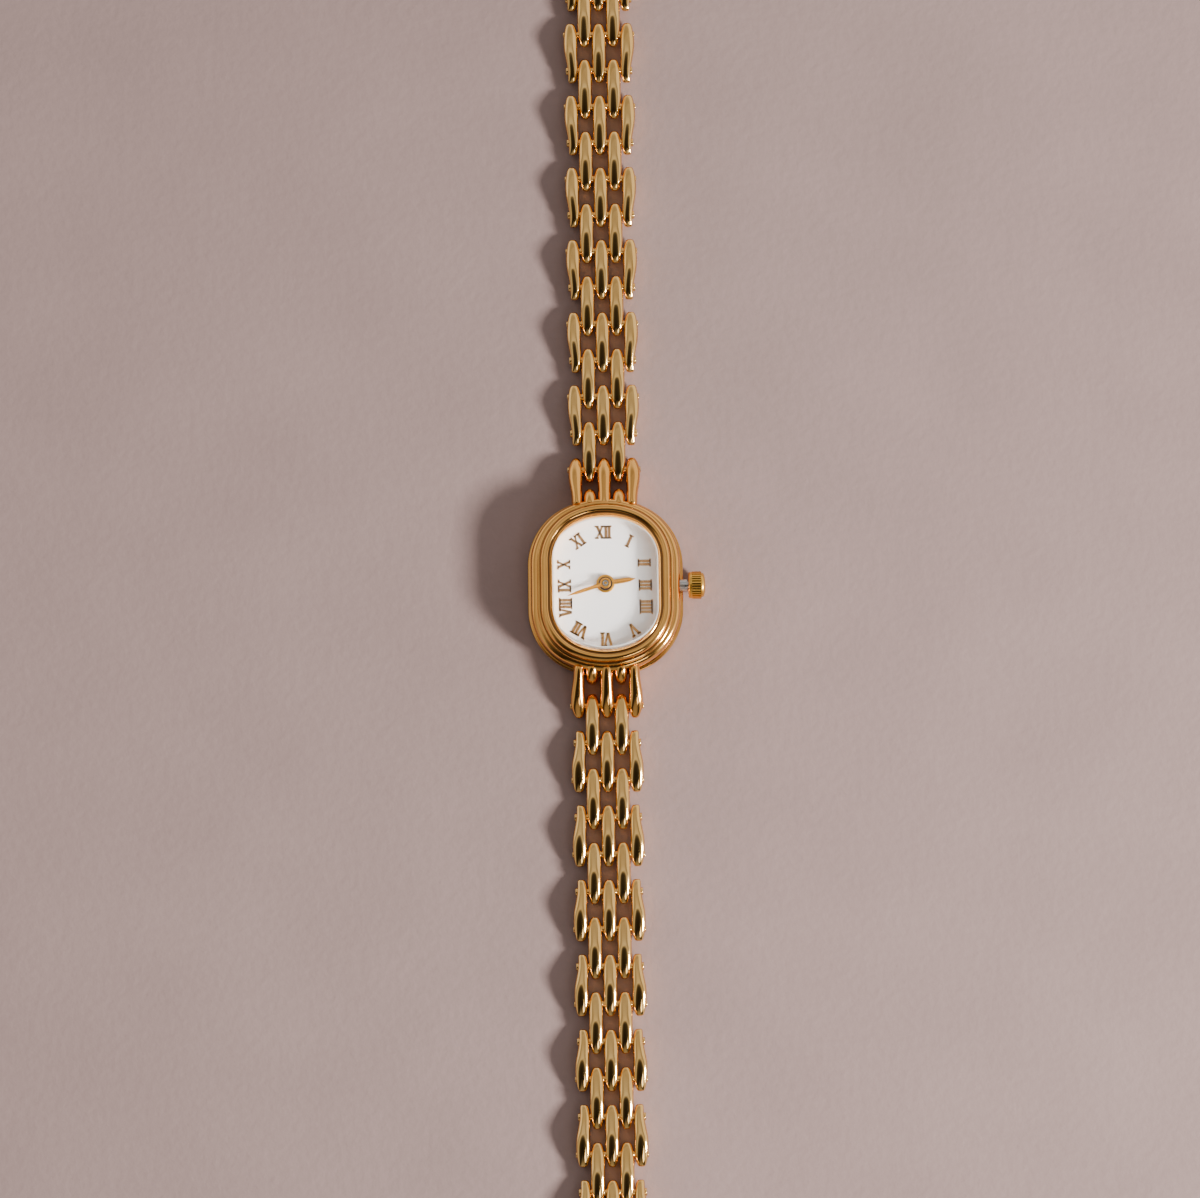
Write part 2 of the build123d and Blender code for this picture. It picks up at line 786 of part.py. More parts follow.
# Main plate: floor and rim, with recesses for the motion work and a channel for the stem
sliding_pinion_start = setting_wheel_place + setting_radii[0] + recess_margin
stem_channel_radius = stem_radius + running_clearance
stem_shoulder = sliding_pinion_start + sliding_pinion_length + crown_travel + recess_margin
plate_size = inset(cavity_size, movement_clearance)
with BuildPart() as main_plate:
    extrude(oval(plate_size, movement_bottom), amount=movement_thickness)
    extrude(
        oval(inset(plate_size, plate_rim_width), movement_bottom),
        amount=plate_floor - movement_bottom,
        mode=Mode.SUBTRACT,
    )
    for place in pillar_places:
        boss(pillar_radius, movement_bottom + bridge_thickness, plate_floor, place)
        bore(screw_radius, movement_bottom, plate_floor, place)
    for radius, place in (
        (hour_radii[0], (0, 0)),
        (minute_radii[0], minute_place),
        (setting_radii[0], setting_place),
    ):
        bore(radius + recess_margin, motion_floor, plate_top, place)
    for place in (minute_place, setting_place):
        boss(post_radius, motion_floor, minute_wheel_bottom + wheel_thickness, place)
    bore(arbor_radius + running_clearance, plate_floor, plate_top)
    for place in (third_place, rotor_place):
        bore(pivot_radius + running_clearance, plate_floor, pivot_top + wheel_gap, place)
    with BuildSketch(crown_plane.offset(setting_wheel_place - crown_travel - wheel_lead)):
        Circle(stem_channel_radius)
    extrude(amount=ring_half_width, mode=Mode.SUBTRACT)
    with BuildSketch(crown_plane.offset(sliding_pinion_start - wheel_gap)):
        Circle(sliding_pinion_radius + wheel_gap)
    extrude(amount=sliding_pinion_length + 2 * wheel_gap, mode=Mode.SUBTRACT)
save(main_plate, "main_plate")

# Bridge under the train, with a pivot hole for each wheel, and its three screws
with BuildPart() as train_bridge:
    with BuildSketch(Plane.XY.offset(movement_bottom)):
        with Locations(bridge_place):
            RectangleRounded(*bridge_size, pillar_radius)
        with Locations((0, 0)):
            Circle(arbor_radius + running_clearance, mode=Mode.SUBTRACT)
        with Locations(third_place, rotor_place):
            Circle(pivot_radius + running_clearance, mode=Mode.SUBTRACT)
        with Locations(*pillar_places):
            Circle(screw_radius, mode=Mode.SUBTRACT)
    extrude(amount=bridge_thickness)
save(train_bridge, "train_bridge")

with BuildPart() as movement_screws:
    for place in pillar_places:
        boss(screw_head_radius, movement_bottom - screw_head_height, movement_bottom, place)
        boss(screw_radius, movement_bottom, plate_floor, place)
        with BuildSketch(Plane.XY.offset(movement_bottom - screw_head_height)):
            with Locations(place):
                Rectangle(2 * screw_head_radius, screw_slot_width)
        extrude(amount=screw_head_height / 2, mode=Mode.SUBTRACT)
save(movement_screws, "movement_screws")

# Keyless work: tube in the case wall, sliding pinion on the stem's square, stem, crown
with BuildPart() as case_tube:
    with BuildSketch(crown_plane.offset(cavity_half_width)):
        Circle(tube_radius)
        Circle(tube_bore_radius, mode=Mode.SUBTRACT)
    extrude(amount=ring_half_width + tube_stand - cavity_half_width)
save(case_tube, "case_tube")

sliding_tip = sliding_pinion_radius
sliding_root = sliding_pinion_radius - motion_module
with BuildPart() as sliding_pinion:
    extrude(
        gear(sliding_pinion_teeth, sliding_tip, sliding_root, crown_plane.offset(sliding_pinion_start)),
        amount=sliding_pinion_length,
    )
    with BuildSketch(crown_plane.offset(sliding_pinion_start)):
        Rectangle(stem_square + 2 * running_clearance, stem_square + 2 * running_clearance)
    extrude(amount=sliding_pinion_length, mode=Mode.SUBTRACT)
save(sliding_pinion, "sliding_pinion")

with BuildPart() as stem:
    with BuildSketch(crown_plane.offset(setting_wheel_place)):
        Rectangle(stem_square, stem_square)
    extrude(amount=stem_shoulder - setting_wheel_place)
    with BuildSketch(crown_plane.offset(stem_shoulder)):
        Circle(stem_radius)
    extrude(amount=crown_start + crown_length - crown_cap_length - stem_shoulder)
save(stem, "stem")

crown_neck_radius = crown_radius - crown_flute_depth
crown_flutes_start = crown_start + crown_collar_length
crown_flutes_length = crown_length - crown_collar_length - crown_cap_length
with BuildPart() as crown:
    with BuildSketch(crown_plane.offset(crown_start)):
        Circle(crown_neck_radius)
    extrude(amount=crown_length)
    fillet(crown.edges().filter_by(GeomType.CIRCLE).sort_by(Axis.X)[-1], crown_cap_length - crown_flute_depth)
    extrude(
        gear(crown_flutes, crown_radius, crown_neck_radius, crown_plane.offset(crown_flutes_start)),
        amount=crown_flutes_length,
    )
    with BuildSketch(crown_plane.offset(crown_start)):
        Circle(tube_radius + running_clearance)
    extrude(amount=crown_bore_depth, mode=Mode.SUBTRACT)
    with BuildSketch(crown_plane.offset(crown_start)):
        Circle(stem_radius)
    extrude(amount=crown_length - crown_cap_length, mode=Mode.SUBTRACT)
save(crown, "crown")

# Bracelet links, each drawn with its near pin over the origin and its far pin towards +Y
link_near = -link_end
link_far = row_pitch + link_end
link_middle = row_pitch / 2


def link_side():
    """Side view of a link, at YZ: domed along its length, cut back under its tips."""
    with BuildSketch(Plane.YZ) as side:
        with BuildLine():
            ThreePointArc((link_near, link_tip_top), (link_middle, link_height), (link_far, link_tip_top))
            Polyline(
                (link_far, link_tip_top),
                (link_far, link_tip_bottom),
                (link_far - link_tip_cut, 0),
                (link_near + link_tip_cut, 0),
                (link_near, link_tip_bottom),
                (link_near, link_tip_top),
            )
        make_face()
    return side.sketch


def link_front():
    """Front view of a link, at XZ: straight sides under a crowned top."""
    with BuildSketch(Plane.XZ.offset(-link_length)) as front:
        with BuildLine():
            Polyline(
                (-link_width, 0),
                (link_width, 0),
                (link_width, link_crown_edge),
            )
            ThreePointArc((link_width, link_crown_edge), (0, link_height), (-link_width, link_crown_edge))
            Line((-link_width, link_crown_edge), (-link_width, 0))
        make_face()
    return front.sketch


def link_base(start, end):
    """Full-width lower body of a link between two sides, its ends rounded."""
    with BuildSketch(Plane.YZ.offset(start)) as base:
        with Locations((link_middle, link_base_height / 2)):
            RectangleRounded(row_pitch + 2 * link_base_end, link_base_height, link_base_corner)
    extrude(base.sketch, amount=end - start)


def knuckle(start, end, along):
    """Round eye about a pin, between two sides of a link."""
    with BuildSketch(Plane.YZ.offset(start)) as eye:
        with Locations((along, pin_height)):
            Circle(knuckle_radius)
    extrude(eye.sketch, amount=end - start)


link_crown_edge = link_height - link_crown_drop
link_sides = (-link_width / 2, link_width / 2)

with BuildPart() as middle_link:
    widest = link_near + link_widest_share * link_length
    extrude(leaf_outline(link_near, link_far, widest), amount=link_height)
    extrude(link_side(), amount=link_width, both=True, mode=Mode.INTERSECT)
    extrude(link_front(), amount=2 * link_length, mode=Mode.INTERSECT)
    link_base(*link_sides)
    for along in (0, row_pitch):
        knuckle(*link_sides, along)

with BuildPart() as outer_link:
    extrude(
        outer_outline(
            link_near,
            link_far,
            link_near + outer_link_waist_share * link_length,
            link_near + outer_link_bulge_share * link_length,
        ),
        amount=link_height,
    )
    extrude(link_side(), amount=link_width, both=True, mode=Mode.INTERSECT)
    link_base(-link_width / 2, outer_link_waist)
    knuckle(-link_width / 2, outer_link_waist, 0)
    knuckle(-link_width / 2, far_knuckle_reach, row_pitch)
mirrored_outer_link = mirror(outer_link.part, about=Plane.YZ)


def pin_bores(link, radius):
    """The link with holes for its two pins."""
    with BuildPart() as bored:
        add(link)
        with Locations(across(0), across(row_pitch)):
            Cylinder(radius, 2 * link_width, mode=Mode.SUBTRACT)
    return bored.part


running_link = pin_bores(middle_link.part, pin_radius + running_clearance)
fixed_middle_link = pin_bores(middle_link.part, pin_radius)
fixed_right_link = pin_bores(outer_link.part, pin_radius)
fixed_left_link = pin_bores(mirrored_outer_link, pin_radius)


def two_link_row(near_pin, turn):
    """Two links that run freely on the pins of their neighbours."""
    with BuildPart() as row:
        for side in (-1, 1):
            place = Location((0, 0, 0), (0, 0, turn)) * Location((side * link_pitch, near_pin, 0))
            add(running_link.moved(place))
    return row


def three_link_row(near_pin, turn):
    """Three links fixed on the two pins that join the row to its neighbours."""
    place = Location((0, 0, 0), (0, 0, turn)) * Location((0, near_pin, 0))
    with BuildPart() as row:
        add(fixed_middle_link.moved(place))
        add(fixed_right_link.moved(place * Location((2 * link_pitch, 0, 0))))
        add(fixed_left_link.moved(place * Location((-2 * link_pitch, 0, 0))))
    return row


def row_pin(half_length, along, near_pin, turn):
    """One pin of a three-link row, its ends slightly domed."""
    with BuildPart() as pin:
        with Locations(across(0)):
            Cylinder(pin_radius, 2 * half_length)
        fillet(pin.edges().filter_by(GeomType.CIRCLE), pin_dome)
    place = Location((0, 0, 0), (0, 0, turn)) * Location((0, near_pin + along, 0))
    return pin.part.moved(place)


near_pin_half_length = 2 * link_pitch + outer_link_waist + pin_stand
far_pin_half_length = 2 * link_pitch + far_knuckle_reach + pin_stand
for half, turn in (("upper", 0), ("lower", lower_turn)):
    for number in range(1, rows_per_half + 1):
        near_pin = first_pin + (number - 1) * row_pitch
        if number % 2:
            row = two_link_row(near_pin, turn)
            solids = row.part.solids()
        else:
            row = three_link_row(near_pin, turn)
            solids = row.part.solids()
            solids.append(row_pin(near_pin_half_length, 0, near_pin, turn).solid())
            solids.append(row_pin(far_pin_half_length, row_pitch, near_pin, turn).solid())
        row_solids = Compound(children=solids)
        row_solids.label = f"{half}_row_{number:02d}"
        export_step(row_solids, f"parts/{row_solids.label}.step")

# Clasp base on the upper half: a tray with two eyes on the last row's pin and a catch bar
last_pin = first_pin + rows_per_half * row_pitch
tray_start = last_pin + link_end + clasp_neck_gap
tray_end = tray_start + clasp_length
hinge_y = tray_end - clasp_pin_inset
hinge_z = clasp_wall_height - clasp_pin_inset
cover_bottom = clasp_wall_height + clasp_cover_gap
cover_top = cover_bottom + clasp_cover_thickness
tray_middle = (tray_start + tray_end) / 2


def neck(side, plate_edge):
    """Arm from a clasp plate's edge to an eye on the last pin."""
    with BuildSketch(Plane.YZ.offset(side * link_pitch - link_width / 2)) as arm:
        with Locations((last_pin, pin_height)):
            Circle(knuckle_radius)
        with BuildLine():
            Polyline(
                (last_pin, pin_height - knuckle_radius),
                (plate_edge, 0),
                (plate_edge, clasp_plate_thickness),
                (last_pin, pin_height + knuckle_radius),
                close=True,
            )
        make_face()
        with Locations((last_pin, pin_height)):
            Circle(pin_radius + running_clearance, mode=Mode.SUBTRACT)
    extrude(arm.sketch, amount=link_width)


with BuildPart() as clasp_base:
    with BuildSketch(Plane.XY):
        with Locations((0, tray_middle)):
            Rectangle(clasp_width, clasp_length)
    extrude(amount=clasp_wall_height)
    top_end = clasp_base.edges().filter_by(Axis.X).group_by(Axis.Y)[-1].sort_by(Axis.Z)[-1]
    fillet(top_end, clasp_pin_inset)
    with BuildSketch(Plane.XY.offset(clasp_plate_thickness)):
        with Locations((0, tray_middle + clasp_wall_thickness)):
            Rectangle(clasp_width - 2 * clasp_wall_thickness, clasp_length)
    extrude(amount=clasp_wall_height, mode=Mode.SUBTRACT)
    for side in (-1, 1):
        neck(side, tray_start + clasp_wall_thickness)
    with Locations(across(hinge_y, hinge_z)):
        Cylinder(clasp_pin_radius + running_clearance, 2 * clasp_width, mode=Mode.SUBTRACT)
    with Locations(across(tray_start + clasp_bar_place_share * clasp_length, hinge_z)):
        Cylinder(clasp_bar_radius, clasp_width - clasp_wall_thickness)
save(clasp_base, "clasp_base")

# Clasp cover: a lid over the tray with two ears on its own hinge pin
ear_outer = clasp_width / 2 - clasp_wall_thickness - clasp_side_gap
with BuildPart() as clasp_cover:
    with BuildSketch(Plane.XY.offset(cover_bottom)):
        with Locations((0, tray_middle)):
            RectangleRounded(clasp_width, clasp_length, clasp_wall_thickness)
    extrude(amount=clasp_cover_thickness)
    for ear_start in (-ear_outer, ear_outer - clasp_ear_thickness):
        with BuildSketch(Plane.YZ.offset(ear_start)) as ear:
            with Locations((hinge_y, hinge_z)):
                Circle(clasp_eye_radius)
            with Locations((hinge_y, (hinge_z + cover_top) / 2)):
                Rectangle(2 * clasp_eye_radius, cover_top - hinge_z)
        extrude(ear.sketch, amount=clasp_ear_thickness)
    with Locations(across(hinge_y, hinge_z)):
        Cylinder(clasp_pin_radius, 2 * clasp_width, mode=Mode.SUBTRACT)

with BuildPart() as clasp_pin:
    with Locations(across(hinge_y, hinge_z)):
        Cylinder(clasp_pin_radius, clasp_width)
clasp_lid = Compound(children=[clasp_cover.part.solid(), clasp_pin.part.solid()])
clasp_lid.label = "clasp_cover"
export_step(clasp_lid, "parts/clasp_cover.step")

# End hook on the lower half: a plate whose turned-up end catches the bar in the clasp
hook_end = tray_start + hook_length
with BuildPart() as end_hook:
    with BuildSketch(Plane.XY):
        with Locations((0, tray_start + hook_length / 2)):
            Rectangle(hook_width, hook_length)
    extrude(amount=clasp_plate_thickness)
    with BuildSketch(Plane.XY):
        with Locations((0, hook_end - hook_lip_thickness / 2)):
            Rectangle(hook_width, hook_lip_thickness)
    extrude(amount=hook_lip_height)
    for side in (-1, 1):
        neck(side, tray_start + clasp_wall_thickness)
turned_hook = end_hook.part.moved(Location((0, 0, 0), (0, 0, lower_turn)))
turned_hook.label = "end_hook"
export_step(turned_hook, "parts/end_hook.step")
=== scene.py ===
import bpy
import json
from math import cos, pi, radians, sin
from mathutils import Matrix, Vector


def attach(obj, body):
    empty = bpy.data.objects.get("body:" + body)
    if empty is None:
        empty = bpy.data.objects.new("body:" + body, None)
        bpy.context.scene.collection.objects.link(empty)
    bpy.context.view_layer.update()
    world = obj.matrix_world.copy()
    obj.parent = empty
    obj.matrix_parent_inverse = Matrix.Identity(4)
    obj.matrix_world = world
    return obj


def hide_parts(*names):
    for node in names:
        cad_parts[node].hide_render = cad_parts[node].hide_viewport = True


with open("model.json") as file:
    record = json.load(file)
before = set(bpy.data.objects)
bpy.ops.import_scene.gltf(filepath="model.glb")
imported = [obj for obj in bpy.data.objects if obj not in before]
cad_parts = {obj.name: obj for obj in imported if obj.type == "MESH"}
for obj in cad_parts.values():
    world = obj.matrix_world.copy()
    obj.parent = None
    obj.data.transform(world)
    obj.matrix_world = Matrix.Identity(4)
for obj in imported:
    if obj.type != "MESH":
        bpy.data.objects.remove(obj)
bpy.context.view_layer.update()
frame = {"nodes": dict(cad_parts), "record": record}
mm = 0.001

# The watch lies face up on a sheet of pale, slightly toothed paper, seen almost straight
# from above. A small lamp low on its right casts the shadows; two dim ones and a sky that
# is dark overhead and bright at the sides give the gold its light and dark bands.


class Finish:
    """A node tree's socket; sums written with it add the Math nodes that they need."""

    def __init__(self, tree, socket=None):
        self.tree = tree
        self.socket = socket

    def node(self, kind, settings, sockets, output=0):
        """Add a node, set it up, give its inputs values or links, and take one output."""
        node = self.tree.nodes.new(kind)
        for name, value in settings.items():
            if name == "stops":
                ramp = node.color_ramp
                ramp.elements.remove(ramp.elements[1])
                ramp.elements[0].position, ramp.elements[0].color = value[0]
                for place, colour in value[1:]:
                    ramp.elements.new(place).color = colour
            else:
                setattr(node, name, value)
        for name, value in sockets.items():
            if isinstance(value, Finish):
                self.tree.links.new(value.socket, node.inputs[name])
            else:
                node.inputs[name].default_value = value
        return Finish(self.tree, node.outputs[output])

    def math(self, operation, first, second):
        return self.node("ShaderNodeMath", {"operation": operation}, {0: first, 1: second})

    def __add__(self, other):
        return self.math("ADD", self, other)

    def __radd__(self, other):
        return self.math("ADD", other, self)

    def __mul__(self, other):
        return self.math("MULTIPLY", self, other)

    def __rmul__(self, other):
        return self.math("MULTIPLY", other, self)


def new_finish(name):
    """An empty material and the start of its node tree."""
    material = bpy.data.materials.new(name)
    material.use_nodes = True
    material.node_tree.nodes.clear()
    return material, Finish(material.node_tree)


def finish_with(material, shader):
    """Join a finished shader to the material's output."""
    output = material.node_tree.nodes.new("ShaderNodeOutputMaterial")
    material.node_tree.links.new(shader.socket, output.inputs["Surface"])
    return material


paper, flow = new_finish("paper")
spots = flow.node("ShaderNodeTexCoord", {}, {}, "Object")
mottle = flow.node("ShaderNodeTexNoise", {}, {"Vector": spots, "Scale": 60.0, "Detail": 5.0})
tooth = flow.node("ShaderNodeTexNoise", {}, {"Vector": spots, "Scale": 900.0, "Detail": 6.0})
paper_tone = flow.node(
    "ShaderNodeValToRGB",
    {"stops": ((0.3, (0.31, 0.218, 0.206, 1)), (0.7, (0.352, 0.248, 0.235, 1)))},
    {"Fac": mottle * 0.7 + tooth * 0.3},
)
paper_relief = flow.node(
    "ShaderNodeBump", {}, {"Strength": 0.5, "Distance": 0.00012, "Height": tooth}
)
finish_with(paper, flow.node(
    "ShaderNodeBsdfPrincipled",
    {},
    {
        "Base Color": paper_tone,
        "Roughness": 0.85,
        "Normal": paper_relief,
        "Specular IOR Level": 0.2,
    },
))

bpy.ops.object.select_all(action="DESELECT")
bpy.ops.mesh.primitive_plane_add(size=1.6, location=(0, 0, -0.02 * mm))
floor = bpy.context.object
floor.name = "paper_floor"
floor.data.materials.append(paper)

world = bpy.data.worlds.new("studio")
bpy.context.scene.world = world
world.use_nodes = True
sky = Finish(world.node_tree)
heading = sky.node("ShaderNodeTexCoord", {}, {}, "Generated")
across = sky.node("ShaderNodeSeparateXYZ", {}, {"Vector": heading}, "X")
along = sky.node("ShaderNodeSeparateXYZ", {}, {"Vector": heading}, "Y")
glow = sky.node(
    "ShaderNodeValToRGB",
    {"stops": (
        (0.0, (0.42, 0.40, 0.38, 1)), (0.14, (0.28, 0.27, 0.26, 1)),
        (0.24, (0.012, 0.010, 0.009, 1)), (0.42, (0.05, 0.045, 0.04, 1)),
        (0.50, (0.16, 0.15, 0.14, 1)), (0.58, (0.62, 0.60, 0.56, 1)),
        (0.70, (0.56, 0.54, 0.51, 1)), (0.84, (0.36, 0.34, 0.32, 1)),
        (0.93, (0.45, 0.43, 0.40, 1)), (1.0, (1.1, 1.05, 1.0, 1)),
    )},
    {"Fac": along * 0.5 + across * across * 0.6 + across * 0.12 + 0.5},
)
world.node_tree.links.new(glow.socket, world.node_tree.nodes["Background"].inputs["Color"])

lamps = (
    ("key_lamp", (0.55, -0.26, 0.305), 0.11, 12.4, (1.0, 0.97, 0.93)),
    ("overhead_lamp", (-0.10, 0.60, 1.10), 1.00, 0.4, (1.0, 0.97, 0.94)),
    ("low_lamp", (0.26, -0.52, 0.60), 0.20, 0.5, (1.0, 0.98, 0.95)),
)
for name, place, size, power, colour in lamps:
    lamp = bpy.data.lights.new(name, "AREA")
    lamp.shape = "SQUARE"
    lamp.size = size
    lamp.energy = power
    lamp.color = colour
    holder = bpy.data.objects.new(name, lamp)
    holder.location = place
    holder.rotation_euler = (-Vector(place)).to_track_quat("-Z", "Y").to_euler()
    bpy.context.scene.collection.objects.link(holder)

camera_data = bpy.data.cameras.new("camera")
camera_data.lens = 205
camera_data.sensor_width = 36
camera_data.clip_start = 0.01
camera = bpy.data.objects.new("camera", camera_data)
camera_aim = Vector((-0.7 * mm, -1.67 * mm, 2.5 * mm))
camera_tilt, camera_turn = radians(9), radians(-0.7)
camera_distance = 0.845
camera_rise = Vector((0, -sin(camera_tilt), cos(camera_tilt)))
camera.location = camera_aim + camera_distance * camera_rise
camera_stance = Matrix.Rotation(camera_tilt, 3, "X") @ Matrix.Rotation(camera_turn, 3, "Z")
camera.rotation_euler = camera_stance.to_euler()
bpy.context.scene.collection.objects.link(camera)
bpy.context.scene.camera = camera


# Case middle: the ring that holds the glass, the movement and the bracelet, cast in
# brass, turned with a fine line and a ledge round its foot, polished and plated a
# rosier gold than the bracelet.

first_colour, second_colour, mixed_colour = 6, 7, 2


def gold(name, pale, deep, roughness):
    """Plated gold: faint clouding of the polish and of its tone, and hairline scratches."""
    material, flow = new_finish(name)
    place = flow.node("ShaderNodeTexCoord", {}, {}, "Object")
    cloud = flow.node("ShaderNodeTexNoise", {}, {"Vector": place, "Scale": 420.0, "Detail": 3.0})
    fine = flow.node("ShaderNodeTexNoise", {}, {"Vector": place, "Scale": 5200.0, "Detail": 2.0})
    drawn = flow.node(
        "ShaderNodeMapping", {}, {"Vector": place, "Scale": (9000.0, 500.0, 9000.0)}
    )
    hairline = flow.node(
        "ShaderNodeTexNoise", {}, {"Vector": drawn, "Scale": 1.0, "Detail": 2.0}
    )
    tone = flow.node(
        "ShaderNodeMix",
        {"data_type": "RGBA"},
        {"Factor": cloud, first_colour: deep, second_colour: pale},
        mixed_colour,
    )
    relief = flow.node(
        "ShaderNodeBump",
        {},
        {"Strength": 0.12, "Distance": 0.00001, "Height": hairline * 0.6 + fine * 0.4},
    )
    usual_spread = 0.075
    shine = cloud * 0.10 + fine * 0.05 + (roughness - usual_spread)
    return finish_with(material, flow.node(
        "ShaderNodeBsdfPrincipled",
        {},
        {"Base Color": tone, "Metallic": 1.0, "Roughness": shine, "Normal": relief},
    ))


case_gold = gold("case_gold", (0.94, 0.51, 0.15, 1), (0.83, 0.39, 0.09, 1), 0.13)


def oval_face(half_width, radius, corner, height):
    """A flat oval: a disc drawn in to two straight sides, its four corners rounded."""
    bpy.ops.object.select_all(action="DESELECT")
    bpy.ops.mesh.primitive_circle_add(
        vertices=288, radius=radius * mm, fill_type="NGON", location=(0, 0, height * mm)
    )
    bpy.ops.object.transform_apply()
    piece = bpy.context.object
    side = half_width - corner
    middle = Vector((side, ((radius - corner) ** 2 - side ** 2) ** 0.5))
    for vertex in piece.data.vertices:
        ray = Vector((abs(vertex.co.x), abs(vertex.co.y))).normalized()
        along = ray.dot(middle)
        reach = radius
        if ray.x * middle.y > ray.y * middle.x:
            reach = along + (corner ** 2 - middle.length_squared + along ** 2) ** 0.5
            if half_width * ray.y <= middle.y * ray.x:
                reach = half_width / ray.x
        vertex.co.x *= reach / radius
        vertex.co.y *= reach / radius
    bpy.ops.object.mode_set(mode="EDIT")
    bpy.ops.mesh.select_all(action="SELECT")
    return piece


def pick(piece, kind, wanted):
    """In edit mode, select only the vertices, edges or faces whose middle is wanted."""
    modes = {"vertices": "VERT", "edges": "EDGE", "polygons": "FACE"}
    bpy.ops.mesh.select_mode(type=modes[kind])
    bpy.ops.mesh.select_all(action="DESELECT")
    bpy.ops.object.mode_set(mode="OBJECT")
    mesh = piece.data
    for part in getattr(mesh, kind):
        if kind == "vertices":
            middle = part.co
        elif kind == "edges":
            middle = (mesh.vertices[part.vertices[0]].co + mesh.vertices[part.vertices[1]].co) / 2
        else:
            middle = part.center
        part.select = bool(wanted(middle))
    bpy.ops.object.mode_set(mode="EDIT")


def at_height(height):
    """A test for pick: whether something lies at this height."""
    return lambda place: abs(place.z - height * mm) < 0.001 * mm


def steps(*moves):
    """Draw the selected face in and up by turns: (inwards, outwards along its normal)."""
    least_inset = 0.002
    for inwards, upwards in moves:
        bpy.ops.mesh.inset(
            thickness=max(inwards, least_inset) * mm, depth=upwards * mm, use_even_offset=True
        )


def underside(piece, height):
    """Close the open lower rim with a face and leave only that face selected."""
    pick(piece, "edges", at_height(height))
    bpy.ops.mesh.edge_face_add()


def hollow(piece):
    """Take out the two middle faces, the ones of most corners, and wall their rims in."""
    bpy.ops.mesh.select_mode(type="FACE")
    bpy.ops.mesh.select_all(action="DESELECT")
    bpy.ops.object.mode_set(mode="OBJECT")
    for face in sorted(piece.data.polygons, key=lambda face: len(face.vertices))[-2:]:
        face.select = True
    bpy.ops.object.mode_set(mode="EDIT")
    bpy.ops.mesh.delete(type="ONLY_FACE")
    bpy.ops.mesh.select_mode(type="EDGE")
    bpy.ops.mesh.select_non_manifold(extend=False)
    bpy.ops.mesh.bridge_edge_loops()


weld_distance = 0.0005 * mm


def done(piece, name, finish, body, node, angle):
    """Close a piece in edit mode: smooth it, name it, finish it and hand it to its body."""
    bpy.ops.mesh.select_all(action="SELECT")
    bpy.ops.mesh.remove_doubles(threshold=weld_distance)
    bpy.ops.mesh.normals_make_consistent(inside=False)
    bpy.ops.object.mode_set(mode="OBJECT")
    bpy.ops.object.select_all(action="DESELECT")
    piece.select_set(True)
    bpy.context.view_layer.objects.active = piece
    bpy.ops.object.transform_apply()
    bpy.ops.object.shade_smooth_by_angle(angle=radians(angle))
    piece.name = name
    piece.data.name = name
    piece.data.materials.clear()
    piece.data.materials.append(finish)
    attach(piece, body)
    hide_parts(node)


case_foot = 0.62
ring = oval_face(half_width=9.6, radius=11.25, corner=8.16, height=case_foot)
# the ledge round the foot and the fine line above it
steps((0, 0.40), (0.05, 0.09), (0.11, 0.05), (0.10, 0.0), (0.03, -0.14), (0.06, 0.0), (0.0, 0.17))
# the wall, its rounded shoulder and the seat of the bezel
steps((0.03, 1.74), (0.05, 0.22), (0.09, 0.17), (0.13, 0.13), (0.16, 0.09), (0.18, 0.05))
steps((0.18, 0.02), (0.10, -0.03), (0.35, 0.0), (0.28, 0.0))
# the rounded lower edge and the rim of the opening for the back
underside(ring, case_foot)
steps((0, 0.08), (0.05, 0.09), (0.12, 0.05), (0.65, 0.0), (0.02, -0.30), (1.07, 0.0))
hollow(ring)
done(ring, "case_ring", case_gold, "head", "case_middle", angle=28)


# Lug fingers: three long ones that hold the bracelet's pin at each end of the case and
# two short ones that fill the space behind the first links, all cast with the case.

first_pin, pin_height = 14.8, 1.0
long_finger, short_finger = 3.6, 1.8
sleeve_radius = 0.5


def draw_out(stations):
    """A casting drawn along Y through (x, y, z, width, height), both ends rounded off."""
    bpy.ops.object.select_all(action="DESELECT")
    x, y, z, width, height = stations[0]
    bpy.ops.mesh.primitive_circle_add(vertices=16, radius=0.5 * mm, fill_type="NOTHING")
    piece = bpy.context.object
    bpy.ops.object.mode_set(mode="EDIT")
    bpy.ops.transform.rotate(value=pi / 2, orient_axis="X", center_override=(0, 0, 0))
    fuller = ((0.1, 0.3, 1.06), (0.3, 0.48, 1.22), (-0.3, -0.1, 1.06), (-0.48, -0.3, 1.25))
    for low, high, wider in fuller:
        pick(piece, "vertices", lambda place: low * mm < place.z < high * mm)
        bpy.ops.transform.resize(value=(wider, 1, 1.02), center_override=(0, 0, 0))
    bpy.ops.mesh.select_all(action="SELECT")
    bpy.ops.transform.resize(value=(width, 1, height), center_override=(0, 0, 0))
    bpy.ops.transform.translate(value=(x * mm, y * mm, z * mm))
    bpy.ops.mesh.select_mode(type="EDGE")
    for before, after in zip(stations, stations[1:]):
        shift = [(new - old) * mm for new, old in zip(after[:3], before[:3])]
        bpy.ops.mesh.extrude_edges_move(TRANSFORM_OT_translate={"value": shift})
        bpy.ops.transform.resize(
            value=(after[3] / before[3], 1, after[4] / before[4]),
            center_override=[length * mm for length in after[:3]],
        )
    bpy.ops.mesh.select_non_manifold(extend=False)
    bpy.ops.mesh.edge_face_add()
    bpy.ops.mesh.select_all(action="SELECT")
    bpy.ops.mesh.normals_make_consistent(inside=False)
    bpy.ops.object.mode_set(mode="OBJECT")
    rounding = piece.modifiers.new("rounding", "SUBSURF")
    rounding.levels = 2
    rounding.render_levels = 2
    bpy.ops.object.modifier_apply(modifier="rounding")
    return piece


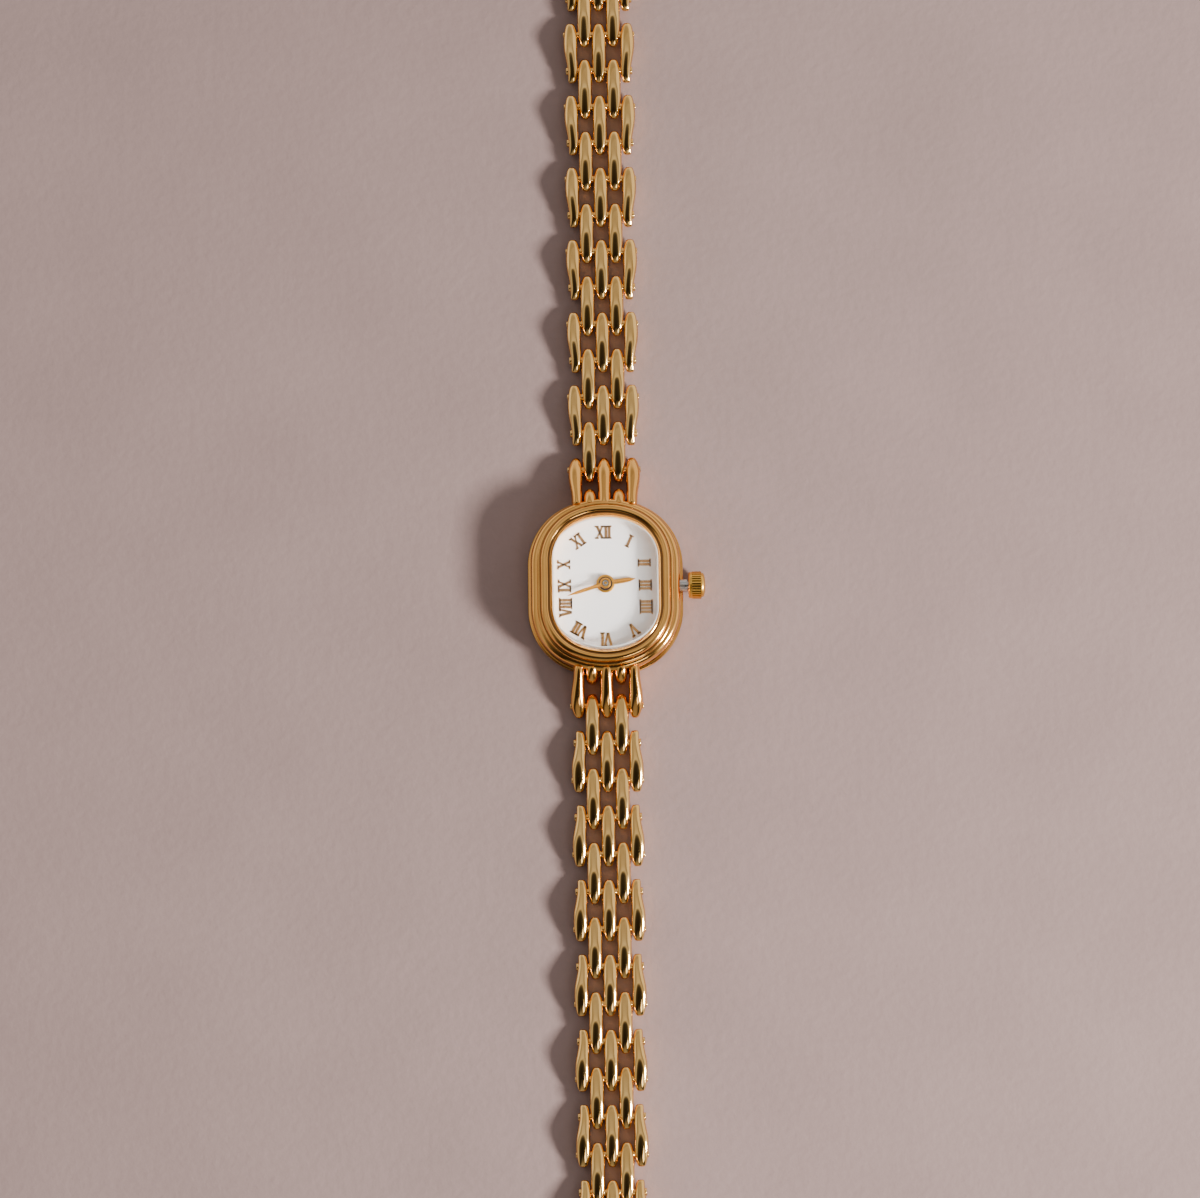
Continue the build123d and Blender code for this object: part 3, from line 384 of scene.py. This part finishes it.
def rod(along, across, radius, length):
    """A pin or a sleeve round one, across the bracelet, its rims rounded."""
    bpy.ops.object.select_all(action="DESELECT")
    bpy.ops.mesh.primitive_cylinder_add(
        vertices=32,
        radius=radius * mm,
        depth=length * mm,
        location=(across * mm, along * mm, pin_height * mm),
        rotation=(0, pi / 2, 0),
    )
    piece = bpy.context.object
    bpy.ops.object.transform_apply()
    edge = piece.modifiers.new("edge", "BEVEL")
    edge.width = 0.08 * mm
    edge.segments = 3
    edge.limit_method = "ANGLE"
    bpy.ops.object.modifier_apply(modifier="edge")
    return piece


def gather(pieces):
    """Join pieces into one mesh and open it in edit mode."""
    bpy.ops.object.select_all(action="DESELECT")
    for piece in pieces:
        piece.select_set(True)
    bpy.context.view_layer.objects.active = pieces[0]
    bpy.ops.object.join()
    bpy.ops.object.mode_set(mode="EDIT")
    return bpy.context.object


def copied(piece):
    """A copy with its own mesh."""
    copy = piece.copy()
    copy.data = piece.data.copy()
    bpy.context.scene.collection.objects.link(copy)
    return copy


half_turn = Matrix.Rotation(pi, 4, "Z")
middle_line = (
    (0, 9.75, 2.12, 1.66, 3.25), (0, 10.6, 2.08, 1.68, 3.25), (0, 11.8, 1.86, 1.70, 2.98),
    (0, 13.0, 1.60, 1.74, 2.68), (0, 14.0, 1.42, 1.75, 2.40), (0, 14.8, 1.24, 1.73, 2.06),
    (0, 15.4, 1.08, 1.55, 1.62), (0, 15.9, 0.97, 1.22, 1.14), (0, 16.2, 0.91, 0.84, 0.74),
    (0, 16.34, 0.88, 0.44, 0.46),
)
outer_line = (
    (-0.20, 9.75, 2.12, 1.44, 3.25), (-0.20, 10.6, 2.08, 1.42, 3.25),
    (-0.16, 11.8, 1.86, 1.48, 2.98), (-0.04, 13.0, 1.60, 1.70, 2.68),
    (0.0, 14.0, 1.42, 1.78, 2.40), (-0.01, 14.8, 1.24, 1.74, 2.06),
    (-0.07, 15.4, 1.08, 1.54, 1.62), (-0.11, 15.9, 0.97, 1.20, 1.14),
    (-0.13, 16.2, 0.91, 0.84, 0.74), (-0.14, 16.34, 0.88, 0.44, 0.46),
)
short_line = (
    (9.75, 2.12, 1.72, 3.25), (10.6, 2.05, 1.72, 3.2), (11.3, 1.85, 1.66, 2.95),
    (11.8, 1.66, 1.40, 2.60), (12.1, 1.50, 0.96, 2.1), (12.22, 1.42, 0.50, 1.7),
)
fingers = [draw_out(middle_line)]
for side in (-1, 1):
    fingers.append(draw_out(
        [(side * (long_finger + x), y, z, w, h) for x, y, z, w, h in outer_line]
    ))
    fingers.append(draw_out([(side * short_finger, y, z, w, h) for y, z, w, h in short_line]))
    fingers.append(rod(first_pin, side * long_finger, sleeve_radius, length=1.5))
fingers.append(rod(first_pin, 0, sleeve_radius, length=1.72))
upper_fingers = gather(fingers)
bpy.ops.object.mode_set(mode="OBJECT")
lower_fingers = copied(upper_fingers)
lower_fingers.data.transform(half_turn)
for piece, name in ((upper_fingers, "upper_lug_fingers"), (lower_fingers, "lower_lug_fingers")):
    bpy.context.view_layer.objects.active = piece
    bpy.ops.object.mode_set(mode="EDIT")
    done(piece, name, case_gold, "head", "case_middle", angle=60)


# Bezel: a stepped gold ring pressed over the glass, turned with a rounded outer ridge, a
# narrow groove on each side of it and a slope that runs down to the glass.

bezel_foot = 3.75
bezel = oval_face(half_width=8.4, radius=10.25, corner=7.14, height=bezel_foot)
# the outer wall, its rounded edge and the outer groove
steps((0, 0.42), (0.04, 0.08), (0.10, 0.07), (0.12, 0.03), (0.02, -0.16), (0.06, 0.0))
# the rounded ridge
steps((0.02, 0.26), (0.02, 0.22), (0.05, 0.17), (0.09, 0.14), (0.12, 0.09), (0.15, 0.05))
steps((0.15, 0.02), (0.12, -0.01), (0.12, -0.03), (0.08, -0.05))
# the inner groove, the slope and the lip over the glass
steps((0.03, -0.42), (0.24, 0.0), (0.03, 0.42))
steps((0.03, 0.02), (0.02, 0.0), (0.30, -0.34), (0.04, -0.10))
underside(bezel, bezel_foot)
steps((0.05, 0.04), (1.86, 0.0))
hollow(bezel)
done(bezel, "bezel_ring", case_gold, "head", "bezel", angle=25)
# The floors of the two grooves get a dark brown gold: painted shade, making them darker than
# their depth alone would.
groove_painted_shade = gold("groove_painted_shade", (0.32, 0.16, 0.06, 1), (0.20, 0.09, 0.03, 1), 0.30)
bezel.data.materials.append(groove_painted_shade)
shaded_groove_floors = ((4.60, 4.66), (4.17, 4.21))
for face in bezel.data.polygons:
    height = face.center.z / mm
    sunk = any(low < height < high for low, high in shaded_groove_floors)
    face.material_index = 1 if sunk and abs(face.normal.z) > 0.9 else 0


# Crystal: mineral glass, domed and equally thick all over, so that it hardly bends the
# view of the dial, with its rim ground off at a slant.

glass, flow = new_finish("glass")
place = flow.node("ShaderNodeTexCoord", {}, {}, "Object")
smear = flow.node("ShaderNodeTexNoise", {}, {"Vector": place, "Scale": 260.0, "Detail": 3.0})
clear = flow.node(
    "ShaderNodeBsdfPrincipled",
    {},
    {
        "Base Color": (1.0, 1.0, 1.0, 1),
        "Roughness": smear * 0.02,
        "Transmission Weight": 1.0,
        "IOR": 1.5,
    },
)
passing = flow.node("ShaderNodeBsdfTransparent", {}, {"Color": (1.0, 1.0, 1.0, 1)})
shaded = flow.node("ShaderNodeLightPath", {}, {}, "Is Shadow Ray")
finish_with(glass, flow.node("ShaderNodeMixShader", {}, {0: shaded, 1: clear, 2: passing}))

glass_foot = 4.92
dome_edge = ((0.3, 0.067), (0.5, 0.103), (0.7, 0.130), (0.9, 0.139), (1.0, 0.120))
dome_crown = ((0.75, 0.062), (0.65, 0.047), (0.4, 0.028))
crystal = oval_face(half_width=6.4, radius=8.02, corner=4.2, height=glass_foot)
steps((0, 0.30), (0.02, 0.05), (0.04, 0.03))
for outwards in (1, -1):
    for inwards, rise in dome_edge:
        steps((inwards, outwards * rise))
    for smaller, rise in dome_crown:
        bpy.ops.mesh.extrude_region_move(TRANSFORM_OT_translate={"value": (0, 0, rise * mm)})
        bpy.ops.transform.resize(value=(smaller, smaller, 1), center_override=(0, 0, 0))
    if outwards == 1:
        underside(crystal, glass_foot)
        steps((0.06, 0.0))
done(crystal, "crystal_glass", glass, "head", "crystal", angle=25)


# Hour numerals: twelve Roman numerals cut from thin gilt brass, their letters of heavy
# and fine strokes with serifs, set round the dial and read from the middle.

numeral_gold = gold("numeral_gold", (0.78, 0.43, 0.17, 1), (0.60, 0.30, 0.10, 1), 0.28)
dial_top, brass_thickness = 3.705, 0.045
stroke_width, fine_width, serif_width = 0.34, 0.25, 0.20
rise = 0.78
serif_level = rise - 0.06


def bar(start, end, width):
    """One stroke of a letter, lying flat on the dial."""
    bpy.ops.object.select_all(action="DESELECT")
    bpy.ops.mesh.primitive_cube_add(size=1)
    piece = bpy.context.object
    run = Vector(end) - Vector(start)
    upright = abs(run.y) > abs(run.x)
    for corner in piece.data.vertices:
        share = corner.co.y + 0.5
        across = width * (corner.co.x if upright else 0)
        level = 0 if upright else width * corner.co.x
        corner.co = (
            (start[0] + share * run.x + across) * mm,
            (start[1] + share * run.y + level) * mm,
            (dial_top + brass_thickness * (corner.co.z + 0.5)) * mm,
        )
    return piece


def serif(across, height, length):
    """A short level stroke that ends a long one."""
    return bar((across - length / 2, height), (across + length / 2, height), serif_width)


letters = {
    "I": [
        bar((0, -rise), (0, rise), stroke_width),
        *[serif(0, up * serif_level, 0.58) for up in (-1, 1)],
    ],
    "V": [
        bar((-0.36, rise), (0.03, -rise), stroke_width),
        bar((0.38, rise), (0.06, -rise), fine_width),
        *[serif(side * 0.37, serif_level, 0.48) for side in (-1, 1)],
    ],
    "X": [
        bar((-0.36, rise), (0.36, -rise), stroke_width),
        bar((0.36, rise), (-0.36, -rise), fine_width),
        *[serif(side * 0.36, up * serif_level, 0.48) for side in (-1, 1) for up in (-1, 1)],
    ],
}
for letter, strokes in letters.items():
    letters[letter] = gather(strokes)
    bpy.ops.object.mode_set(mode="OBJECT")
letter_room = {"I": 0.42, "V": 0.98, "X": 1.08}
numeral_places = {
    "XII": (-0.2, 6.44, 0), "I": (3.0, 5.3, 25), "II": (4.8, 2.6, 90), "III": (4.9, -0.2, 90),
    "IIII": (4.97, -2.9, 90), "V": (3.38, -5.7, 150), "VI": (0.06, -6.85, 180),
    "VII": (-3.2, -5.7, 210), "VIII": (-4.92, -2.9, 270), "IX": (-5.03, -0.2, 270),
    "X": (-5.1, 2.46, 270), "XI": (-3.36, 5.36, -35),
}
set_letters = []
for text, (across, along, turn) in numeral_places.items():
    start = -sum(letter_room[letter] for letter in text) / 2
    for letter in text:
        middle = start + letter_room[letter] / 2
        start += letter_room[letter]
        copy = copied(letters[letter])
        copy.data.transform(Matrix.Translation((middle * mm, 0, 0)))
        copy.data.transform(Matrix.Rotation(radians(-turn), 4, "Z"))
        copy.data.transform(Matrix.Translation((across * mm, along * mm, 0)))
        set_letters.append(copy)
for letter in letters.values():
    bpy.data.objects.remove(letter)
numerals = gather(set_letters)
done(numerals, "gilt_numerals", numeral_gold, "head", "hour_numerals", angle=30)


# Hands: stamped brass, gilt, each a tapering blade with a hub that is turned in rings and
# pressed on its pipe; there is no seconds hand.

hand_gold = gold("hand_gold", (0.90, 0.45, 0.01, 1), (0.74, 0.31, 0.005, 1), 0.30)
hand_shade = gold("hand_shade", (0.05, 0.025, 0.01, 1), (0.03, 0.015, 0.005, 1), 0.4)
hour_rings = ((0.03, 0.05), (0.06, 0.03), (0.18, 0.02), (0.03, -0.10), (0.2, 0.0))
minute_rings = (
    (0.03, 0.16), (0.06, 0.06), (0.16, 0.02), (0.04, -0.16), (0.24, 0.0), (0.02, 0.12),
    (0.03, 0.02),
)
hands = (
    ("hour_hand", "hour_work", 81, 3.7, 0.62, 3.95, 1.13, hour_rings, 0.06),
    ("minute_hand", "minute_work", 252, 4.9, 0.46, 4.29, 0.68, minute_rings, 0.14),
)
disc_thickness, blade_thickness = 0.06, 0.08
for name, body, turn, length, width, bottom, hub, rings, groove_floor in hands:
    disc_middle = (0, 0, (bottom + disc_thickness / 2) * mm)
    bpy.ops.object.select_all(action="DESELECT")
    bpy.ops.mesh.primitive_cylinder_add(
        vertices=72, radius=hub * mm, depth=disc_thickness * mm, location=disc_middle
    )
    bpy.ops.object.transform_apply()
    disc = bpy.context.object
    bpy.ops.object.mode_set(mode="EDIT")
    pick(disc, "polygons", at_height(bottom + disc_thickness))
    steps(*rings)
    bpy.ops.object.mode_set(mode="OBJECT")
    root = hub * 0.8
    blade_height = (bottom + 0.05) * mm
    tip = (0, length * mm, blade_height)
    bpy.ops.object.select_all(action="DESELECT")
    bpy.ops.mesh.primitive_cube_add(size=1, location=(0, 0, 0))
    blade = bpy.context.object
    blade.scale = (width * mm, (length - root) * mm, blade_thickness * mm)
    blade.location = (0, (length + root) / 2 * mm, blade_height)
    bpy.ops.object.transform_apply()
    bpy.ops.object.mode_set(mode="EDIT")
    bpy.ops.mesh.subdivide(number_cuts=3)
    pick(blade, "vertices", lambda place: place.y > (length - 0.01) * mm)
    bpy.ops.transform.resize(value=(0.12, 1, 0.7), center_override=tip)
    pick(blade, "vertices", lambda place: (length - 1.3) * mm < place.y < (length - 0.3) * mm)
    bpy.ops.transform.resize(value=(0.82, 1, 1), center_override=tip)
    pick(blade, "vertices", lambda place: abs(place.x) < 0.01 * mm and place.z > blade_height)
    bpy.ops.transform.translate(value=(0, 0, 0.14 * mm))
    bpy.ops.object.mode_set(mode="OBJECT")
    hand = gather([disc, blade])
    bpy.ops.object.mode_set(mode="OBJECT")
    hand.data.transform(Matrix.Rotation(radians(-turn), 4, "Z"))
    bpy.ops.object.mode_set(mode="EDIT")
    done(hand, name + "_gilt", hand_gold, body, name, angle=30)
    hand.data.materials.append(hand_shade)
    for face in hand.data.polygons:
        on_hub = Vector(face.center[:2]).length < (hub - 0.1) * mm
        sunk = abs(face.center.z / mm - bottom - groove_floor) < 0.006
        face.material_index = 1 if on_hub and sunk and face.normal.z > 0.9 else 0


# Bracelet rows: solid cast links shaped like grains of rice, two and three by turns,
# hinged on pins that run through the sleeves between them; plated yellow gold.

link_gold = gold("link_gold", (0.98, 0.65, 0.25, 1), (0.89, 0.50, 0.14, 1), 0.10)
row_pitch, rows = 4.62, 14
pin_radius, near_pin_length, far_pin_length = 0.39, 8.3, 8.94
middle_link_line = (
    (0, -1.55, 0.86, 0.62, 0.50), (0, -1.32, 0.89, 1.02, 0.80), (0, -0.8, 0.99, 1.34, 1.15),
    (0, 0.0, 1.12, 1.60, 1.45), (0, 1.0, 1.24, 1.76, 1.75), (0, 1.9, 1.34, 1.80, 1.94),
    (0, 2.3, 1.35, 1.80, 2.00), (0, 2.8, 1.34, 1.80, 1.96), (0, 3.8, 1.22, 1.78, 1.70),
    (0, 4.7, 1.10, 1.68, 1.40), (0, 5.4, 1.00, 1.46, 1.12), (0, 5.9, 0.91, 1.10, 0.82),
    (0, 6.15, 0.87, 0.66, 0.50),
)
turned_link_line = [(x, row_pitch - y, z, w, h) for x, y, z, w, h in reversed(middle_link_line)]
outer_link_line = (
    (-0.16, -1.55, 0.86, 0.70, 0.50), (-0.20, -1.36, 0.89, 1.00, 0.80),
    (-0.27, -0.8, 0.99, 1.16, 1.15), (-0.29, 0.0, 1.12, 1.26, 1.45),
    (-0.21, 0.9, 1.24, 1.42, 1.75), (-0.11, 1.9, 1.34, 1.62, 1.94),
    (-0.06, 2.4, 1.35, 1.72, 2.00), (-0.03, 3.1, 1.31, 1.78, 1.90),
    (-0.03, 3.9, 1.21, 1.78, 1.68), (-0.05, 4.8, 1.08, 1.62, 1.38),
    (-0.05, 5.5, 0.98, 1.36, 1.08), (-0.04, 5.95, 0.91, 1.02, 0.78),
    (-0.03, 6.15, 0.87, 0.66, 0.50),
)


def link(line, across, side, start):
    """One link of a row whose first pin is at start."""
    return draw_out([(across + side * x, start + y, z, w, h) for x, y, z, w, h in line])


def sleeves(start, places, radius, length):
    """The sleeves round both pins of a row, at some places across it."""
    return [
        rod(start + pin, across, radius, length)
        for pin in (0, row_pitch)
        for across in places
    ]


row_sources = {}
for half, line in (("upper", middle_link_line), ("lower", turned_link_line)):
    start = first_pin
    row_sources[half, 1] = gather(
        [link(line, across, 1, start) for across in (-short_finger, short_finger)]
        + sleeves(start, (-short_finger, short_finger), radius=0.52, length=1.74)
    )
    bpy.ops.object.mode_set(mode="OBJECT")
    start = first_pin + row_pitch
    row_sources[half, 0] = gather(
        [link(line, 0, 1, start)]
        + [link(outer_link_line, side * long_finger, side, start) for side in (-1, 1)]
        + sleeves(start, (0,), radius=0.52, length=1.74)
        + sleeves(start, (-3.46, 3.46), sleeve_radius, length=1.4)
        + [rod(start, 0, pin_radius, near_pin_length)]
        + [rod(start + row_pitch, 0, pin_radius, far_pin_length)]
    )
    bpy.ops.object.mode_set(mode="OBJECT")
for number in range(1, rows + 1):
    shift = (number - 1 - (1 - number % 2)) * row_pitch
    for half in ("upper", "lower"):
        row = copied(row_sources[half, number % 2])
        row.data.transform(Matrix.Translation((0, shift * mm, 0)))
        if half == "lower":
            row.data.transform(half_turn)
        bpy.context.view_layer.objects.active = row
        bpy.ops.object.mode_set(mode="EDIT")
        node = f"{half}_row_{number:02d}"
        done(row, f"{half}_links_{number:02d}", link_gold, node, node, angle=60)
for source in row_sources.values():
    bpy.data.objects.remove(source)


# Clasp: a base and a hinged cover that snaps down over the hook on the bracelet's other
# end, all three stamped from brass, their edges tumbled round, plated yellow gold.

tumbled_edge = 0.12 * mm
clasp_pieces = (
    ("clasp_base", "clasp_plate"),
    ("clasp_cover", "clasp_lid"),
    ("end_hook", "clasp_hook"),
)
for node, name in clasp_pieces:
    bpy.ops.object.select_all(action="DESELECT")
    piece = bpy.data.objects.new(name, frame["nodes"][node].data.copy())
    bpy.context.scene.collection.objects.link(piece)
    piece.select_set(True)
    bpy.context.view_layer.objects.active = piece
    bpy.ops.object.mode_set(mode="EDIT")
    bpy.ops.mesh.select_all(action="SELECT")
    bpy.ops.mesh.remove_doubles(threshold=weld_distance)
    bpy.ops.mesh.dissolve_limited(angle_limit=radians(1))
    bpy.ops.mesh.select_mode(type="EDGE")
    bpy.ops.mesh.select_all(action="DESELECT")
    bpy.ops.mesh.edges_select_sharp(sharpness=radians(60))
    bpy.ops.mesh.bevel(offset=tumbled_edge, segments=3, affect="EDGES", clamp_overlap=True)
    done(piece, name, link_gold, node, node, angle=40)


# Crown: a brass knob with 32 flutes and a domed end, turned, plated and fixed on the end
# of the steel stem; its back is hollowed for the case tube, and it stands pulled out.

crown_gold = gold("crown_gold", (0.95, 0.56, 0.13, 1), (0.80, 0.42, 0.06, 1), 0.30)
crown_middle, crown_axis, flutes = 11.27 * mm, 2.05 * mm, 32
bpy.ops.object.select_all(action="DESELECT")
bpy.ops.mesh.primitive_cylinder_add(
    vertices=4 * flutes,
    radius=1.7 * mm,
    depth=1.14 * mm,
    location=(crown_middle, 0, crown_axis),
    rotation=(0, pi / 2, 0),
)
bpy.ops.object.transform_apply()
knob = bpy.context.object


def on_side(place):
    """Whether a face is one of the knob's own sides and not of its ends."""
    return abs(place.x - crown_middle) < 0.01 * mm


def in_flute(place):
    """Whether a face of the side is to be sunk: the first half of each flute's turn."""
    if not on_side(place):
        return False
    outwards = Vector((place.y, place.z - crown_axis))
    return (outwards.angle_signed(Vector((0, 1))) / (2 * pi) * flutes) % 1 < 0.5


bpy.ops.object.mode_set(mode="EDIT")
# the outer end: a fine line, a step and the dome
pick(knob, "polygons", lambda place: place.x > 11.8 * mm)
steps((0.10, 0.0), (0.03, -0.05), (0.05, 0.0), (0, 0.10), (0.03, 0.10), (0.05, 0.10))
steps((0.09, 0.09), (0.18, 0.06), (0.3, 0.07), (0.3, 0.04))
# the inner end: a collar and the hollow for the tube
pick(knob, "polygons", lambda place: place.x < 10.75 * mm)
steps((0.05, 0.0), (0, 0.23), (0.04, 0.10), (0.09, 0.08), (0.16, 0.02), (0.54, 0.0), (0, -0.9))
pick(knob, "polygons", in_flute)
bpy.ops.mesh.inset(thickness=0.02 * mm, depth=-0.14 * mm)
done(knob, "fluted_crown", crown_gold, "crown", "crown", angle=30)
knob.data.materials.append(hand_shade)
for face in knob.data.polygons:
    reach = Vector((face.center.y, face.center.z - crown_axis)).length
    face.material_index = 1 if on_side(face.center) and reach < 1.6 * mm else 0


# The rest keeps the form that it has: the white lacquered dial, the steel back and tube,
# the lug pins, the gaskets, and the movement, with gilt plates and wheels, a copper coil
# and a circuit board. Most of it is shut up in the case.

dial_white, flow = new_finish("dial_white")
place = flow.node("ShaderNodeTexCoord", {}, {}, "Object")
grain = flow.node("ShaderNodeTexNoise", {}, {"Vector": place, "Scale": 3000.0, "Detail": 3.0})
cloud = flow.node("ShaderNodeTexNoise", {}, {"Vector": place, "Scale": 180.0, "Detail": 2.0})
white = flow.node(
    "ShaderNodeValToRGB",
    {"stops": ((0.3, (0.93, 0.905, 0.89, 1)), (0.7, (0.96, 0.935, 0.92, 1)))},
    {"Fac": cloud},
)
relief = flow.node(
    "ShaderNodeBump", {}, {"Strength": 0.1, "Distance": 0.000005, "Height": grain}
)
finish_with(dial_white, flow.node(
    "ShaderNodeBsdfPrincipled",
    {},
    {
        "Base Color": white,
        "Roughness": grain * 0.06 + 0.22,
        "Normal": relief,
        "Coat Weight": 0.4,
    },
))


def plain_finish(name, pale, deep, roughness, metallic):
    """A plain metal or moulding, with a fine grain and slight clouding."""
    material, flow = new_finish(name)
    place = flow.node("ShaderNodeTexCoord", {}, {}, "Object")
    cloud = flow.node("ShaderNodeTexNoise", {}, {"Vector": place, "Scale": 300.0, "Detail": 3.0})
    grain = flow.node("ShaderNodeTexNoise", {}, {"Vector": place, "Scale": 2500.0, "Detail": 3.0})
    tone = flow.node(
        "ShaderNodeMix",
        {"data_type": "RGBA"},
        {"Factor": cloud, first_colour: deep, second_colour: pale},
        mixed_colour,
    )
    relief = flow.node(
        "ShaderNodeBump", {}, {"Strength": 0.2, "Distance": 0.00001, "Height": grain}
    )
    return finish_with(material, flow.node(
        "ShaderNodeBsdfPrincipled",
        {},
        {
            "Base Color": tone,
            "Metallic": metallic,
            "Roughness": grain * 0.15 + roughness,
            "Normal": relief,
        },
    ))


finishes = {
    "bracelet_gold": link_gold,
    "case_gold": case_gold,
    "gilt": gold("gilt", (0.82, 0.50, 0.26, 1), (0.66, 0.36, 0.16, 1), 0.25),
    "crystal": glass,
    "dial_white": dial_white,
}
plain_finishes = (
    ("white_gasket", (0.80, 0.80, 0.78, 1), (0.70, 0.70, 0.68, 1), 0.5, 0.0),
    ("black_gasket", (0.03, 0.03, 0.03, 1), (0.02, 0.02, 0.02, 1), 0.6, 0.0),
    ("steel", (0.62, 0.61, 0.60, 1), (0.50, 0.49, 0.48, 1), 0.22, 1.0),
    ("copper", (0.75, 0.36, 0.20, 1), (0.55, 0.22, 0.12, 1), 0.3, 1.0),
    ("board", (0.02, 0.16, 0.07, 1), (0.01, 0.10, 0.05, 1), 0.35, 0.0),
)
for slot, pale, deep, roughness, metallic in plain_finishes:
    finishes[slot] = plain_finish(slot, pale, deep, roughness, metallic)
for part in frame["record"]["subparts"]:
    mesh = frame["nodes"][part["node"]].data
    mesh.materials.clear()
    mesh.materials.append(finishes[part["material_slot"]])
